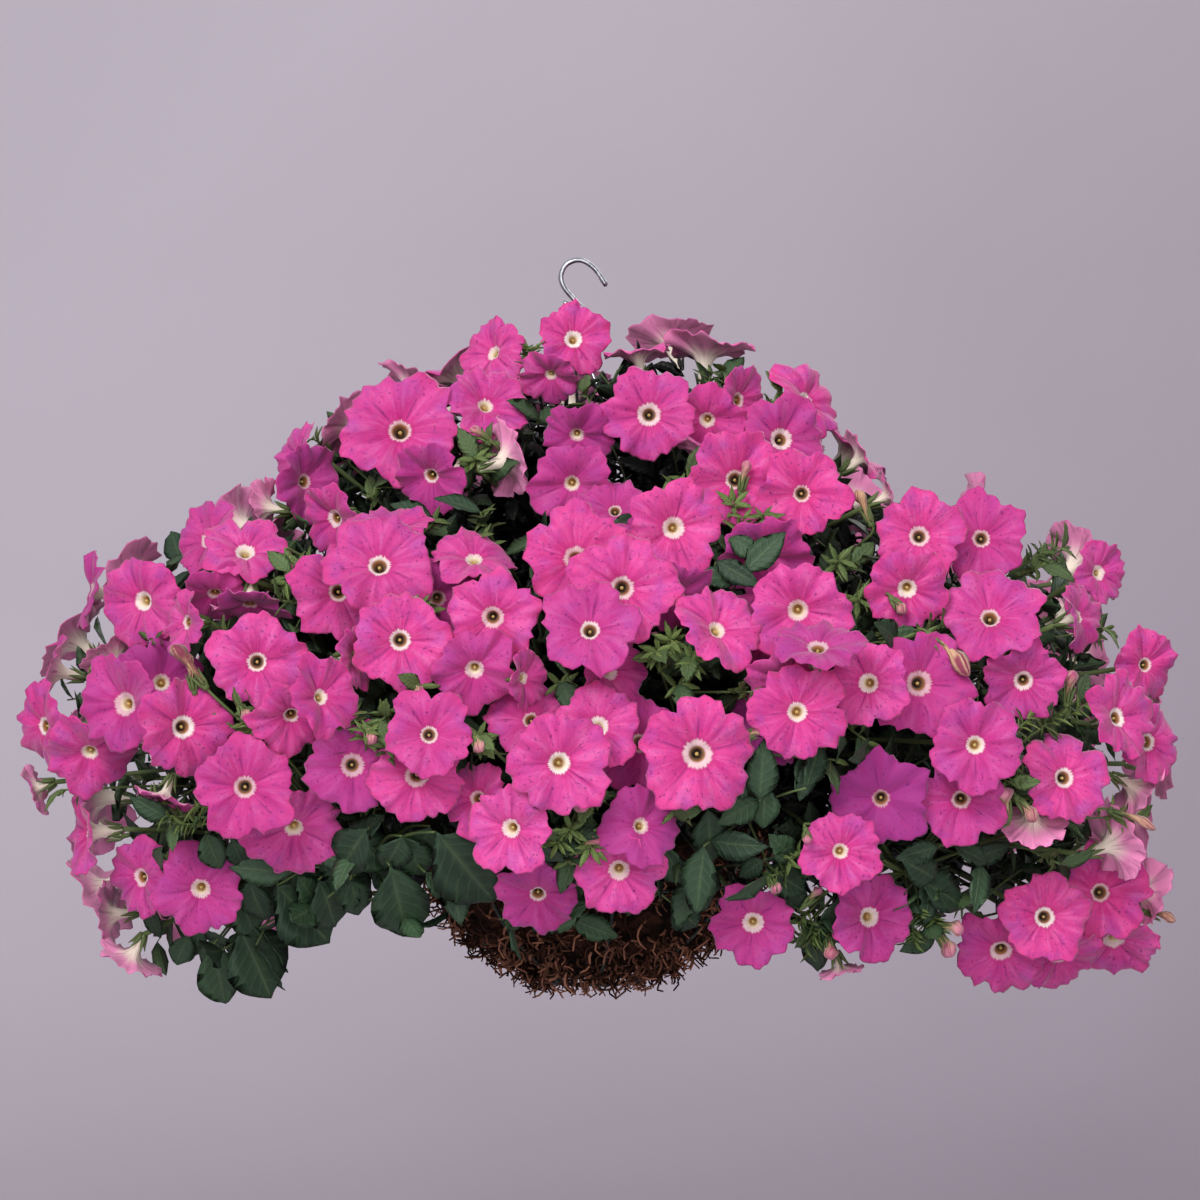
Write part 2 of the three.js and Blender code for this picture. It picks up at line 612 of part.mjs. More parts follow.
// One petunia bloom: a throat, five petals with notches between them, the neck behind them and a
// three-sided stalk that runs on through the given points
function bloomGeometry({ centre, normal, radius, turn, plain }, stalk) {
  const [side, over] = squareTo(normal, turn);
  const back = normal.clone().negate();
  const throatBottom = plain ? THROAT.plainBottom : THROAT.bottom;
  const rim = Array.from({ length: 10 }, (_, k) => {
    const shape = k % 2 === 0 ? PETAL_TIP : PETAL_NOTCH;
    return [shape.radius * radius, shape.height * radius, normal];
  });
  const rings = [
    { points: [centre.clone().addScaledVector(normal, throatBottom * radius)], turns: [0] },
    ring(centre, side, over, Array(5).fill([THROAT.radius * radius, THROAT.height * radius, normal]), 0.1),
    ring(centre, side, over, rim),
  ];
  if (plain) rings.splice(1, 1);
  let across = side.clone();
  stalk.forEach((point, k) => {
    const behind = k === 0 ? back.clone() : new THREE.Vector3().subVectors(point, stalk[k - 1]);
    const ahead = k + 1 < stalk.length ? new THREE.Vector3().subVectors(stalk[k + 1], point) : behind.clone();
    const along = ahead.normalize().add(behind.normalize()).normalize();
    across = across.clone().addScaledVector(along, -across.dot(along)).normalize();
    const beside = new THREE.Vector3().crossVectors(across, along);
    let thickness = STALK_RADIUS;
    if (k === 0) thickness = NECK.radius * radius;
    else if (k === 1 && k < stalk.length - 1) thickness = TUBE_END.radius * radius;
    rings.push(ring(point, across, beside, Array(3).fill([thickness, 0, along]), 0.1));
  });
  return skinGeometry(rings);
}

// One leaf: a pointed oval blade, keeled along its midrib and arched down towards its tip
function leafGeometry(root, direction, face, length) {
  const side = new THREE.Vector3().crossVectors(face, direction).normalize();
  const lift = new THREE.Vector3().crossVectors(direction, side).normalize();
  const at = (along, across, up) => root.clone()
    .addScaledVector(direction, along * length)
    .addScaledVector(side, across * LEAF_WIDTH * length / 2)
    .addScaledVector(lift, up * length);
  const outline = [
    at(-LEAF_SUNK / length, 0, 0), at(0.34, -0.92, 0.09), at(0.68, -0.78, 0.06),
    at(1, 0, -0.1), at(0.68, 0.78, 0.06), at(0.34, 0.92, 0.09),
  ];
  const thin = LEAF_THICKNESS / 2 / length;
  return skinGeometry([
    { points: [at(LEAF_RIDGE, 0, 0.03 + thin)], turns: [0] },
    { points: outline, turns: outline.map((_, k) => k / outline.length) },
    { points: [at(LEAF_RIDGE, 0, 0.03 - thin)], turns: [0] },
  ]);
}

// Places: a pixel of the picture at a depth, the crown's front, and its back by turn and height
function inPicture(px, py, y) {
  const spread = VIEW.mmPerPixel * (VIEW.distance + y) / VIEW.distance;
  return V(VIEW.x + (px - PICTURE_CENTRE) * spread, y, VIEW.z - (py - PICTURE_CENTRE) * spread);
}

function crownAt(z) {
  const height = Math.min(CROWN_ROWS[0].z, Math.max(CROWN_ROWS[CROWN_ROWS.length - 1].z, z));
  const below = Math.max(1, CROWN_ROWS.findIndex((row) => row.z <= height));
  const [a, b] = [CROWN_ROWS[below - 1], CROWN_ROWS[below]];
  const t = (a.z - height) / (a.z - b.z);
  const [left, right] = [mix(a.left, b.left, t), mix(a.right, b.right, t)];
  return { middle: (left + right) / 2, half: (right - left) / 2, depth: mix(a.depth, b.depth, t) };
}

function crownDepth(x, z) {
  const { middle, half, depth } = crownAt(z);
  const outward = Math.min(CROWN_EDGE, Math.abs(x - middle) / half);
  return depth * (1 - outward ** CROWN_ROUNDNESS) ** (1 / CROWN_ROUNDNESS);
}

function crownFront(px, py, behind) {
  let place = inPicture(px, py, 0);
  for (let k = 0; k < 6; k++) place = inPicture(px, py, -crownDepth(place.x, place.z));
  return inPicture(px, py, Math.min(place.y + behind, DEEPEST_Y));
}

function crownBack(turn, z) {
  const { middle, half, depth } = crownAt(z);
  const [c, s] = [Math.cos(TURN * turn), Math.sin(TURN * turn)];
  const power = 2 / CROWN_ROUNDNESS;
  const across = Math.sign(c) * Math.abs(c) ** power;
  return V(middle + half * across, depth * Math.sign(s) * Math.abs(s) ** power, z);
}

// The height above which a given share of the crown's surface lies
function crownHeight(share) {
  const areas = [0];
  const girths = CROWN_ROWS.map(({ left, right, depth }) => (right - left) / 2 + depth);
  for (let k = 1; k < BACK_ROWS; k++) {
    const slope = Math.hypot(CROWN_ROWS[k].z - CROWN_ROWS[k - 1].z, (girths[k] - girths[k - 1]) / 2);
    areas.push(areas[k - 1] + slope * (girths[k] + girths[k - 1]));
  }
  const wanted = share * areas[areas.length - 1];
  const below = Math.max(1, areas.findIndex((area) => area >= wanted));
  const t = (wanted - areas[below - 1]) / (areas[below] - areas[below - 1]);
  return mix(CROWN_ROWS[below - 1].z, CROWN_ROWS[below].z, t);
}

// Blooms: where each is, which way it faces and how wide it is
function frontBloom([px, py, width, direction, lean, behind], seed) {
  const [d, a] = [direction * Math.PI / 180, lean * Math.PI / 180];
  const normal = V(Math.sin(a) * Math.cos(d), -Math.cos(a), Math.sin(a) * Math.sin(d));
  const place = crownFront(px, py, behind);
  const radius = width / 2 * VIEW.mmPerPixel * (VIEW.distance + place.y) / VIEW.distance;
  if (lean < 90) place.addScaledVector(normal, -THROAT.height * radius);
  const plain = behind >= SHADED_BEHIND || lean > SIDE_ON_LEAN;
  return { centre: place, normal, radius, turn: chance(seed, 1) / 5, plain };
}

function backBloom(k) {
  const turn = mix(...BACK_TURNS, (k * GOLDEN_TURN + 0.2) % 1);
  const place = crownBack(turn, crownHeight((k + 1) / (BACK_BLOOMS + 1)));
  const out = V(place.x - CROWN_HEART.x, place.y, (place.z - CROWN_HEART.z) * 0.9).normalize();
  const normal = out.add(V(mix(-0.5, 0.5, chance(k, 2)), 0.25, mix(-0.4, 0.5, chance(k, 3)))).normalize();
  place.lerp(CROWN_HEART, k % 2 === 0 ? BACK_SUNK.least : BACK_SUNK.most);
  const radius = BACK_BLOOM_WIDTH / 2 * mix(0.88, 1.08, chance(k, 4));
  return { centre: place, normal, radius, turn: chance(k, 5) / 5, plain: true };
}

// Tufts of leaves: where each is and how long its leaves are
function frontTufts({ tufts }) {
  return tufts.map(([px, py, length, behind]) => ({ tip: crownFront(px, py, behind), length }));
}

function backTuft(k) {
  const turn = mix(...BACK_TURNS, (k * GOLDEN_TURN + 0.45) % 1);
  return crownBack(turn, crownHeight((k + 1) / (BACK_TUFTS + 1))).lerp(CROWN_HEART, BACK_SUNK.most);
}

// Everything that has its place, so that what comes later is laid clear of it
const placed = [];

function keep(made, owner) {
  placed.push({ made, owner, box: made.boundingBox() });
  return made;
}

function meets(made, ignores) {
  const box = made.boundingBox();
  return placed.find((other) => (
    !ignores(other)
    && other.box.min.every((low, k) => low <= box.max[k] + GAP)
    && other.box.max.every((high, k) => high >= box.min[k] - GAP)
    && !other.made.intersect(made).isEmpty()));
}

function crosses(made, owner) {
  return meets(made, (other) => other.owner === owner);
}

keep(hookSolid, 's_hook');
hangerSolids.forEach((made, k) => keep(made, `hanger_wire_${k + 1}`));
keep(basketSolid, 'wire_basket');

// Fibres that stand out of the liner between the wires, on a golden-turn spiral
function fibreGeometry(k) {
  const drop = mix(0.1, 0.97, Math.sqrt((k + 0.5) / FIBRE_COUNT));
  const cell = Math.floor(chance(k, 11) * RIB_COUNT);
  const turn = RIB_FIRST_TURN + (cell + mix(0.16, 0.84, k * GOLDEN_TURN % 1)) / RIB_COUNT;
  const foot = roundBasket(turn, linerOuter(turn, drop) - FIBRE_SUNK, RIM_Z - drop * BASKET_DEPTH);
  const outward = 1.1 - drop;
  const out = V(Math.cos(TURN * turn) * outward, Math.sin(TURN * turn) * outward, -drop * 0.9).normalize();
  out.x += mix(-0.6, 0.6, chance(k, 12));
  out.y += mix(-0.6, 0.6, chance(k, 13));
  out.z += mix(-0.7, 0.3, chance(k, 14));
  const length = FIBRE_LENGTH * mix(0.7, 1.2, chance(k, 15));
  const geometry = new THREE.ConeGeometry(FIBRE_RADIUS, length, 3).translate(0, length / 2, 0);
  const turned = new THREE.Quaternion().setFromUnitVectors(V(0, 1, 0), out.normalize());
  return geometry.applyQuaternion(turned).translate(foot.x, foot.y, foot.z);
}

const fibres = Array.from({ length: FIBRE_COUNT }, (_, k) => solid(fibreGeometry(k)));
const clearFibres = fibres.filter((fibre) => !crosses(fibre, 'moss_liner'));
const linerSolid = keep(fused([solid(linerGeometry()), ...clearFibres]), 'moss_liner');

// Flowering stems: the blooms first, each shifted along the line of sight or made a little smaller
// until it is clear of the blooms of the other sprays
function behindBloom(bloom, shape) {
  return bloom.centre.clone().addScaledVector(bloom.normal, shape.height * bloom.radius);
}

function corolla(bloom) {
  return solid(bloomGeometry(bloom, [behindBloom(bloom, NECK), behindBloom(bloom, TUBE_END)]));
}

function settle(bloom, owner) {
  const inward = bloom.centre.y < 0 ? 1 : -1;
  const tries = [];
  for (const shrink of SHRINKS) {
    for (const shift of DEPTH_SHIFTS) {
      const centre = bloom.centre.clone().add(V(0, inward * shift, 0));
      tries.push({ ...bloom, centre, radius: bloom.radius * shrink });
    }
  }
  tries.forEach((tried) => { tried.made = corolla(tried); });
  const gentle = tries.slice(0, 2 * DEPTH_SHIFTS.length);
  const found = gentle.find((tried) => !meets(tried.made, () => false))
    ?? tries.find((tried) => !crosses(tried.made, owner));
  keep(found.made, owner);
  return { ...found, entry: placed[placed.length - 1] };
}

const sprays = FRONT_STEMS.map((stem, s) => ({
  name: stem.name,
  tufts: frontTufts(stem),
  blooms: stem.blooms.map((row, k) => frontBloom(row, s * 20 + k)),
}));
const backSprays = BACK_STEMS.map(({ name, turn, z }) => ({
  name, tufts: [], blooms: [], aim: crownBack(turn, z),
}));

function nearestBackSpray(place) {
  return backSprays.reduce((best, next) => (
    next.aim.distanceTo(place) < best.aim.distanceTo(place) ? next : best));
}

for (let k = 0; k < BACK_BLOOMS; k++) {
  const bloom = backBloom(k);
  nearestBackSpray(bloom.centre).blooms.push(bloom);
}
for (let k = 0; k < BACK_TUFTS; k++) {
  const tip = backTuft(k);
  nearestBackSpray(tip).tufts.push({ tip, length: BACK_LEAF * mix(0.8, 1.15, chance(k, 6)) });
}
sprays.push(...backSprays);

for (const spray of sprays) {
  spray.pink = `blooms_${spray.name}`;
  spray.green = `leafy_stem_${spray.name}`;
  spray.blooms = spray.blooms.map((bloom) => settle(bloom, spray.pink));
  const middle = spray.blooms.reduce((sum, bloom) => sum.add(bloom.centre), V(0, 0, 0))
    .divideScalar(spray.blooms.length);
  spray.tip = CROWN_HEART.clone().lerp(middle, HUB_REACH);
  const besideRim = Math.hypot(spray.tip.x - BASKET_X, spray.tip.y) < BASKET_RADIUS + RIM_BERTH;
  if (besideRim) spray.tip.z = Math.max(spray.tip.z, RIM_CLEAR_Z);
}
const stems = [...sprays, ...TRAILING_STEMS.map((stem) => ({
  name: stem.name,
  green: `leafy_stem_${stem.name}`,
  tufts: frontTufts(stem),
  blooms: [],
  tip: crownFront(...stem.tip),
}))];

// Main stems: each rises from its hole in the soil, clears the rim and ends below its spray
function stemPoints({ tip }, sway) {
  const flat = V(tip.x - BASKET_X, tip.y, 0);
  const reach = flat.length();
  const turn = Math.atan2(flat.y, flat.x) / TURN + sway;
  const footRadius = Math.min(FOOT_REACH.most, Math.max(FOOT_REACH.least, reach * FOOT_REACH.part));
  const foot = roundBasket(turn, footRadius, SOIL_TOP_Z - HOLE_DEPTH + GAP);
  const knee = roundBasket(turn, footRadius, SOIL_TOP_Z + KNEE_RISE);
  const points = [foot, knee];
  const overRim = roundBasket(turn, Math.min(reach * 0.8, BASKET_RADIUS + RIM_WIRE), RIM_CLEAR_Z);
  const low = tip.z < RIM_CLEAR_Z + RIM_BERTH && reach > BASKET_RADIUS * 0.8;
  if (low) points.push(overRim);
  else points.push(knee.clone().lerp(tip, 0.5).addScaledVector(UP, STEM_ARCH.middle));
  points.push(points[points.length - 1].clone().lerp(tip, 0.55).addScaledVector(UP, STEM_ARCH.end), tip);
  return points;
}

for (const spray of stems) {
  for (const sway of SWAYS) {
    const points = stemPoints(spray, sway);
    const made = solid(wireGeometry(points, STEM_RADIUS, 3));
    const direction = smoothLine(points).getTangent(1);
    const tip = points[points.length - 1];
    const hub = tip.clone().addScaledVector(direction, GAP + HUB_HEIGHT / 2);
    const turned = new THREE.Quaternion().setFromUnitVectors(V(0, 1, 0), direction);
    const hubShape = new THREE.CylinderGeometry(HUB_RADIUS * HUB_TAPER, HUB_RADIUS, HUB_HEIGHT, 4);
    const hubSolid = solid(hubShape.applyQuaternion(turned).translate(hub.x, hub.y, hub.z));
    if (crosses(made, spray.green) || (spray.pink && crosses(hubSolid, spray.pink))) continue;
    Object.assign(spray, { points, hub, direction, stem: made });
    keep(made, spray.green);
    if (spray.pink) spray.pinkParts = [keep(hubSolid, spray.pink)];
    spray.greenParts = [made];
    break;
  }
}

// Soil: a plug inside the liner, with a plain hole for each stem
const soilProfile = linerInside(SOIL_GAP);
const [soilRim, soilNext] = soilProfile;
const soilTopPart = (SOIL_TOP_Z - soilRim.y) / (soilNext.y - soilRim.y);
soilProfile[0] = new THREE.Vector2(mix(soilRim.x, soilNext.x, soilTopPart), SOIL_TOP_Z);
soilProfile.unshift(new THREE.Vector2(0, SOIL_TOP_Z + SOIL_CROWN));
const soilGeometry = new THREE.LatheGeometry(soilProfile.reverse(), LINER_SIDES).rotateX(Math.PI / 2);
let soilSolid = solid(soilGeometry.translate(BASKET_X, 0, 0));
const holeLength = HOLE_DEPTH + HOLE_ABOVE;
for (const { points: [foot] } of stems) {
  const hole = new THREE.CylinderGeometry(HOLE_RADIUS, HOLE_RADIUS, holeLength, 4).rotateX(Math.PI / 2);
  const holeZ = SOIL_TOP_Z - HOLE_DEPTH + holeLength / 2;
  soilSolid = soilSolid.subtract(solid(hole.translate(foot.x, foot.y, holeZ)));
}
keep(soilSolid, 'soil');

// Stalks: each bloom's stalk curves from behind its tube to the end of the stem, clear of the rest
function stalkPoints(bloom, hub, offset) {
  const points = [behindBloom(bloom, NECK)];
  const toHub = new THREE.Vector3().subVectors(hub, points[0]).normalize();
  if (-toHub.dot(bloom.normal) < TUBE_BEND) points.push(behindBloom(bloom, TUBE_END));
  if (offset.lengthSq() > 0) points.push(points[points.length - 1].clone().lerp(hub, 0.5).add(offset));
  return [...points, hub];
}

// Ways past an obstacle: straight on, then ever wider to each side
function offsets(direction) {
  const [side, over] = squareTo(direction, 0);
  const found = [V(0, 0, 0)];
  for (const size of BYPASSES) {
    for (let k = 0; k < 6; k++) {
      const [across, up] = [size * Math.cos(TURN * k / 6), size * Math.sin(TURN * k / 6)];
      found.push(side.clone().multiplyScalar(across).addScaledVector(over, up));
    }
  }
  return found;
}

for (const spray of sprays) {
  const reachOf = ({ centre }) => new THREE.Vector3().subVectors(centre, spray.hub).dot(spray.direction);
  spray.blooms.sort((a, b) => reachOf(a) - reachOf(b));
  const corollas = spray.blooms.map((bloom) => bloom.made);
  for (const [rank, bloom] of spray.blooms.entries()) {
    const others = corollas.filter((made) => made !== bloom.made);
    const share = rank / (spray.blooms.length - 1);
    const along = mix(HUB_STALKS.first, HUB_STALKS.last, share) * HUB_HEIGHT;
    const end = spray.hub.clone().addScaledVector(spray.direction, along);
    const toHub = new THREE.Vector3().subVectors(end, bloom.centre).normalize();
    const tries = offsets(toHub).map((offset) => (
      solid(bloomGeometry(bloom, stalkPoints(bloom, end, offset)))));
    const open = tries.filter((made) => !crosses(made, spray.pink));
    const made = open.find((tried) => others.every((other) => other.intersect(tried).isEmpty())) ?? open[0];
    Object.assign(bloom.entry, { made, box: made.boundingBox() });
    spray.pinkParts.push(made);
  }
}

// Leaves: tufts on twigs that leave the stem and come out between the blooms
function addTuft(spray, tip, length, seed) {
  const [stemBend, stemTip] = spray.points.slice(-2);
  let best = null;
  for (const from of TWIG_STARTS) {
    const start = stemBend.clone().lerp(stemTip, from);
    const away = new THREE.Vector3().subVectors(tip, start).normalize();
    for (const offset of offsets(away)) {
      const half = start.clone().lerp(tip, 0.55).add(offset);
      const points = offset.lengthSq() > 0 ? [start, half, tip] : [start, tip];
      const twig = solid(wireGeometry(points, TWIG_RADIUS, 3));
      if (crosses(twig, spray.green)) continue;
      best = { points, twig };
      break;
    }
    if (best) break;
  }
  if (!best) {
    return false;
  }
  spray.greenParts.push(keep(best.twig, spray.green));
  const own = [best.twig, spray.stem];
  const [twigBend, twigTip] = best.points.slice(-2);
  const direction = new THREE.Vector3().subVectors(twigTip, twigBend).normalize();
  const frame = endFrame(best.points);
  for (let k = 0; k < LEAVES_A_TUFT; k++) {
    const root = twigTip.clone().addScaledVector(direction, -TWIG_RADIUS - k * LEAF_SPACING);
    for (let attempt = 0; attempt < LEAF_TRIES; attempt++) {
      const turn = (k + seed + attempt) / 3 + mix(-0.05, 0.05, chance(seed, k + attempt));
      const side = frame.side.clone().multiplyScalar(Math.cos(TURN * turn))
        .addScaledVector(frame.over, Math.sin(TURN * turn));
      const hanging = length > HANGING_LEAF ? LEAF_SPREAD.hanging : 0;
      const spread = mix(LEAF_SPREAD.least, LEAF_SPREAD.most, chance(seed, k + 20)) + hanging;
      const [ahead, aside] = [Math.cos(TURN * spread), Math.sin(TURN * spread)];
      const out = direction.clone().multiplyScalar(ahead).addScaledVector(side, aside);
      const face = direction.clone().multiplyScalar(aside).addScaledVector(side, -ahead);
      const size = length * mix(1, 0.86, k) * mix(1, 0.75, attempt / LEAF_TRIES);
      const leaf = solid(leafGeometry(root, out, face, size));
      if (meets(leaf, (other) => own.includes(other.made))) continue;
      spray.greenParts.push(keep(leaf, spray.green));
      break;
    }
  }
  return true;
}

stems.forEach((spray, s) => {
  spray.tufts.forEach(({ tip, length }, k) => {
    TUFT_RETREATS.some((retreat) => (
      addTuft(spray, tip.clone().lerp(spray.tip, retreat), length, s * 10 + k)));
  });
});

addPiece('s_hook', hookSolid, 'galvanised');
hangerSolids.forEach((made, k) => addPiece(`hanger_wire_${k + 1}`, made, 'galvanised'));
addPiece('wire_basket', basketSolid, 'basketWire');
addPiece('moss_liner', linerSolid, 'moss');
addPiece('soil', soilSolid, 'soil');
for (const spray of stems) {
  addPiece(spray.green, fused(spray.greenParts), 'leaf');
  if (spray.pink) addPiece(spray.pink, fused(spray.pinkParts), 'petal');
}

export default part;
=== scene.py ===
import bpy
import numpy as np
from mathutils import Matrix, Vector


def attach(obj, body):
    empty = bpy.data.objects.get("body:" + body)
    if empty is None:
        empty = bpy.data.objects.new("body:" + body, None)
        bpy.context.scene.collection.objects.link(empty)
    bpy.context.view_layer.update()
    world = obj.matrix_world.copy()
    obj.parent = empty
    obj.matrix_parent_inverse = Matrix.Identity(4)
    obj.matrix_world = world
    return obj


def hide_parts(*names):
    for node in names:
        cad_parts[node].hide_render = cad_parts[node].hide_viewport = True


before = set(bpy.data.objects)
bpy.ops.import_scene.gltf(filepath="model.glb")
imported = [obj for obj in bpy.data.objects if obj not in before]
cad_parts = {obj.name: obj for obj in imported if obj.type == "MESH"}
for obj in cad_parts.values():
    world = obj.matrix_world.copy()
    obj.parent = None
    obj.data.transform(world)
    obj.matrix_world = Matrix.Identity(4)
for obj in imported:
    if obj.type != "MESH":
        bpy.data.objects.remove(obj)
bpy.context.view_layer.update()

# S-hook: one length of galvanised steel wire, 3.8 mm thick, bent cold into two open loops. The
# upper loop hangs on whatever holds the basket, and the lower one carries the hanger wires' eyes.
MM = 0.001
TURN = 2 * np.pi
HOOK_WIRE = 3.8
# x and z of points along the wire's middle line, in millimetres
HOOK_CENTRE_LINE = [
    [19.5, -17], [9.8, -3.4], [0, 1.9], [-9.8, -1.1], [-14.2, -9.4], [-12.8, -17], [-6, -26],
    [2.2, -35], [5.2, -42.4], [3, -50.6], [-3.8, -55.1], [-10.5, -51.4], [-12.8, -43], [-10.5, -29],
]
HOOK_SIDES = 16
HOOK_STEPS = 6
SPANGLES_A_METRE = 260
SMEARS_A_METRE = 700


def unit(vectors):
    """Each vector divided by its length."""
    return vectors / np.linalg.norm(vectors, axis=-1, keepdims=True)


def square_to(direction, turn=0.0):
    """Two directions square to each direction and to each other, turned about it by a part of a turn."""
    helper = np.where(np.abs(direction[..., 2:]) < 0.9, [0.0, 0.0, 1.0], [1.0, 0.0, 0.0])
    side = unit(np.cross(helper, direction))
    over = np.cross(direction, side)
    angle = TURN * np.asarray(turn)[..., None]
    return side * np.cos(angle) + over * np.sin(angle), over * np.cos(angle) - side * np.sin(angle)


def smooth_line(points, steps):
    """A smooth curve through the points: a cubic from each to the next, whose slopes there come
    from the points on both sides, weighed by the square roots of their distances."""
    p = np.asarray(points, float)
    p = np.vstack([2 * p[0] - p[1], p, 2 * p[-1] - p[-2]])
    knots = np.sqrt(np.linalg.norm(np.diff(p, axis=0), axis=1))[:, None]
    before, start, end, after = p[:-3], p[1:-2], p[2:-1], p[3:]
    k0, k1, k2 = knots[:-2], knots[1:-1], knots[2:]
    leave = k1 * ((start - before) / k0 - (end - before) / (k0 + k1) + (end - start) / k1)
    arrive = k1 * ((end - start) / k1 - (after - start) / (k1 + k2) + (after - end) / k2)
    t = (np.arange(steps) / steps)[:, None, None]
    curve = (start + leave * t + (3 * (end - start) - 2 * leave - arrive) * t ** 2
             + (2 * (start - end) + leave + arrive) * t ** 3)
    return np.vstack([curve.transpose(1, 0, 2).reshape(-1, 3), p[-2]])


def closed_skins(rings, first, last):
    """Closed bodies, each a chain of rings with a point before and after them. A ring's points join
    the next ring's one by one, and its last point joins its first. Whatever stands after a point's
    three coordinates goes with it."""
    count, rows, columns, channels = rings.shape
    points = np.concatenate([first[:, None], rings.reshape(count, -1, channels), last[:, None]], axis=1)
    each = rows * columns + 2
    here = 1 + np.arange(rows * columns).reshape(rows, columns)
    beside = np.roll(here, -1, axis=1)
    quads = np.stack([here[:-1], beside[:-1], beside[1:], here[1:]], axis=-1).reshape(-1, 4)
    start, end = np.zeros(columns, int), np.full(columns, each - 1)
    fans = np.concatenate([
        np.stack([start, beside[0], here[0]], axis=-1),
        np.stack([end, here[-1], beside[-1]], axis=-1),
    ])
    shift = each * np.arange(count)[:, None, None]
    return points.reshape(-1, channels), (quads + shift).reshape(-1, 4), (fans + shift).reshape(-1, 3)


def rod_rings(paths, radii, sides):
    """A round section carried along each path, square to it, and turned as little as it can be from
    each point to the next. Gives the rings and the two points that close the ends."""
    paths = np.asarray(paths, float)
    radii = np.broadcast_to(radii, paths.shape[:2])[..., None]
    ahead = unit(np.gradient(paths, axis=1))
    side = [square_to(ahead[:, 0])[0]]
    for step in range(1, paths.shape[1]):
        along = ahead[:, step]
        side.append(unit(side[-1] - (side[-1] * along).sum(-1, keepdims=True) * along))
    side = np.stack(side, axis=1)
    over = np.cross(ahead, side)
    angle = (TURN * np.arange(sides) / sides)[:, None]
    out = side[:, :, None] * np.cos(angle) + over[:, :, None] * np.sin(angle)
    rings = paths[:, :, None] + radii[:, :, None] * out
    first = paths[:, 0] - ahead[:, 0] * radii[:, 0] / 2
    last = paths[:, -1] + ahead[:, -1] * radii[:, -1] / 2
    return rings, first, last


def round_rods(paths, radii, sides):
    """Closed round rods along the paths."""
    return closed_skins(*rod_rings(paths, radii, sides))


def add_piece(name, skins, finish, stands_for, marks=()):
    """One mesh of several skins, in metres. Channels after the coordinates become vector attributes
    under the given names, three channels to each."""
    starts = np.cumsum([0] + [len(skin[0]) for skin in skins])
    points = np.concatenate([skin[0] for skin in skins])
    quads = np.concatenate([skin[1] + start for skin, start in zip(skins, starts)])
    fans = np.concatenate([skin[2] + start for skin, start in zip(skins, starts)])
    mesh = bpy.data.meshes.new(name)
    mesh.vertices.add(len(points))
    mesh.vertices.foreach_set("co", (points[:, :3] * MM).astype(np.float32).ravel())
    mesh.loops.add(quads.size + fans.size)
    mesh.loops.foreach_set("vertex_index", np.concatenate([quads.ravel(), fans.ravel()]).astype(np.int32))
    mesh.polygons.add(len(quads) + len(fans))
    firsts = np.concatenate([4 * np.arange(len(quads)), quads.size + 3 * np.arange(len(fans))])
    mesh.polygons.foreach_set("loop_start", firsts.astype(np.int32))
    mesh.polygons.foreach_set("use_smooth", np.ones(len(firsts), bool))
    mesh.update(calc_edges=True)
    for k, mark in enumerate(marks):
        values = points[:, 3 + 3 * k:6 + 3 * k].astype(np.float32)
        mesh.attributes.new(mark, "FLOAT_VECTOR", "POINT").data.foreach_set("vector", values.ravel())
    mesh.materials.append(finish)
    piece = bpy.data.objects.new(name, mesh)
    bpy.context.scene.collection.objects.link(piece)
    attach(piece, "root")
    if stands_for:
        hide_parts(*stands_for)
    return piece


class Flow:
    """A value or colour on its way through a material's nodes. Sums on it add Math nodes."""

    def __init__(self, tree, socket=None):
        self.tree, self.socket = tree, socket

    def node(self, kind, settings=None, inputs=None, output=0):
        made = self.tree.nodes.new("ShaderNode" + kind)
        for name, value in (settings or {}).items():
            setattr(made, name, value)
        for name, value in (inputs or {}).items():
            if isinstance(value, Flow):
                self.tree.links.new(value.socket, made.inputs[name])
            else:
                made.inputs[name].default_value = value
        return Flow(self.tree, made.outputs[output])

    def maths(self, operation, *others, clip=False):
        settings = {"operation": operation, "use_clamp": clip}
        return self.node("Math", settings, dict(enumerate([self, *others])))

    def __add__(self, other):
        return self.maths("ADD", other)

    __radd__ = __add__

    def __mul__(self, other):
        return self.maths("MULTIPLY", other)

    __rmul__ = __mul__

    def __sub__(self, other):
        return self.maths("SUBTRACT", other)

    def __rsub__(self, other):
        return self * -1 + other

    def __pow__(self, other):
        return self.maths("POWER", other)

    def between(self, low, high):
        """From 0 at the low value to 1 at the high one, eased at both."""
        settings = {"interpolation_type": "SMOOTHSTEP"}
        return self.node("MapRange", settings, {"Value": self, "From Min": low, "From Max": high})

    def blend(self, here, there):
        """The first colour where this is 0, and the second where it is 1."""
        names = {0: self, 6: here, 7: there}
        return self.node("Mix", {"data_type": "RGBA"}, names, 2)

    def noise(self, scale, detail=2.0, roughness=0.5):
        """Cloudy numbers from 0 to 1 over this place."""
        inputs = {"Vector": self, "Scale": scale, "Detail": detail, "Roughness": roughness}
        return self.node("TexNoise", None, inputs)

    def parts(self):
        """The three numbers of a vector."""
        made = self.tree.nodes.new("ShaderNodeSeparateXYZ")
        self.tree.links.new(self.socket, made.inputs[0])
        return [Flow(self.tree, socket) for socket in made.outputs]

    def mark(self, name):
        """The three numbers that a piece's own vector attribute gives each point."""
        return self.node("Attribute", {"attribute_name": name}, None, 1).parts()

    def wear(self, shader, name):
        self.tree.links.new(self.socket, shader.inputs[name])

    def bump(self, shader, height_mm, strength=1.0):
        """This as the height of a relief, as deep as the millimetres given."""
        inputs = {"Height": self, "Distance": height_mm * MM, "Strength": strength}
        self.node("Bump", None, inputs).wear(shader, "Normal")


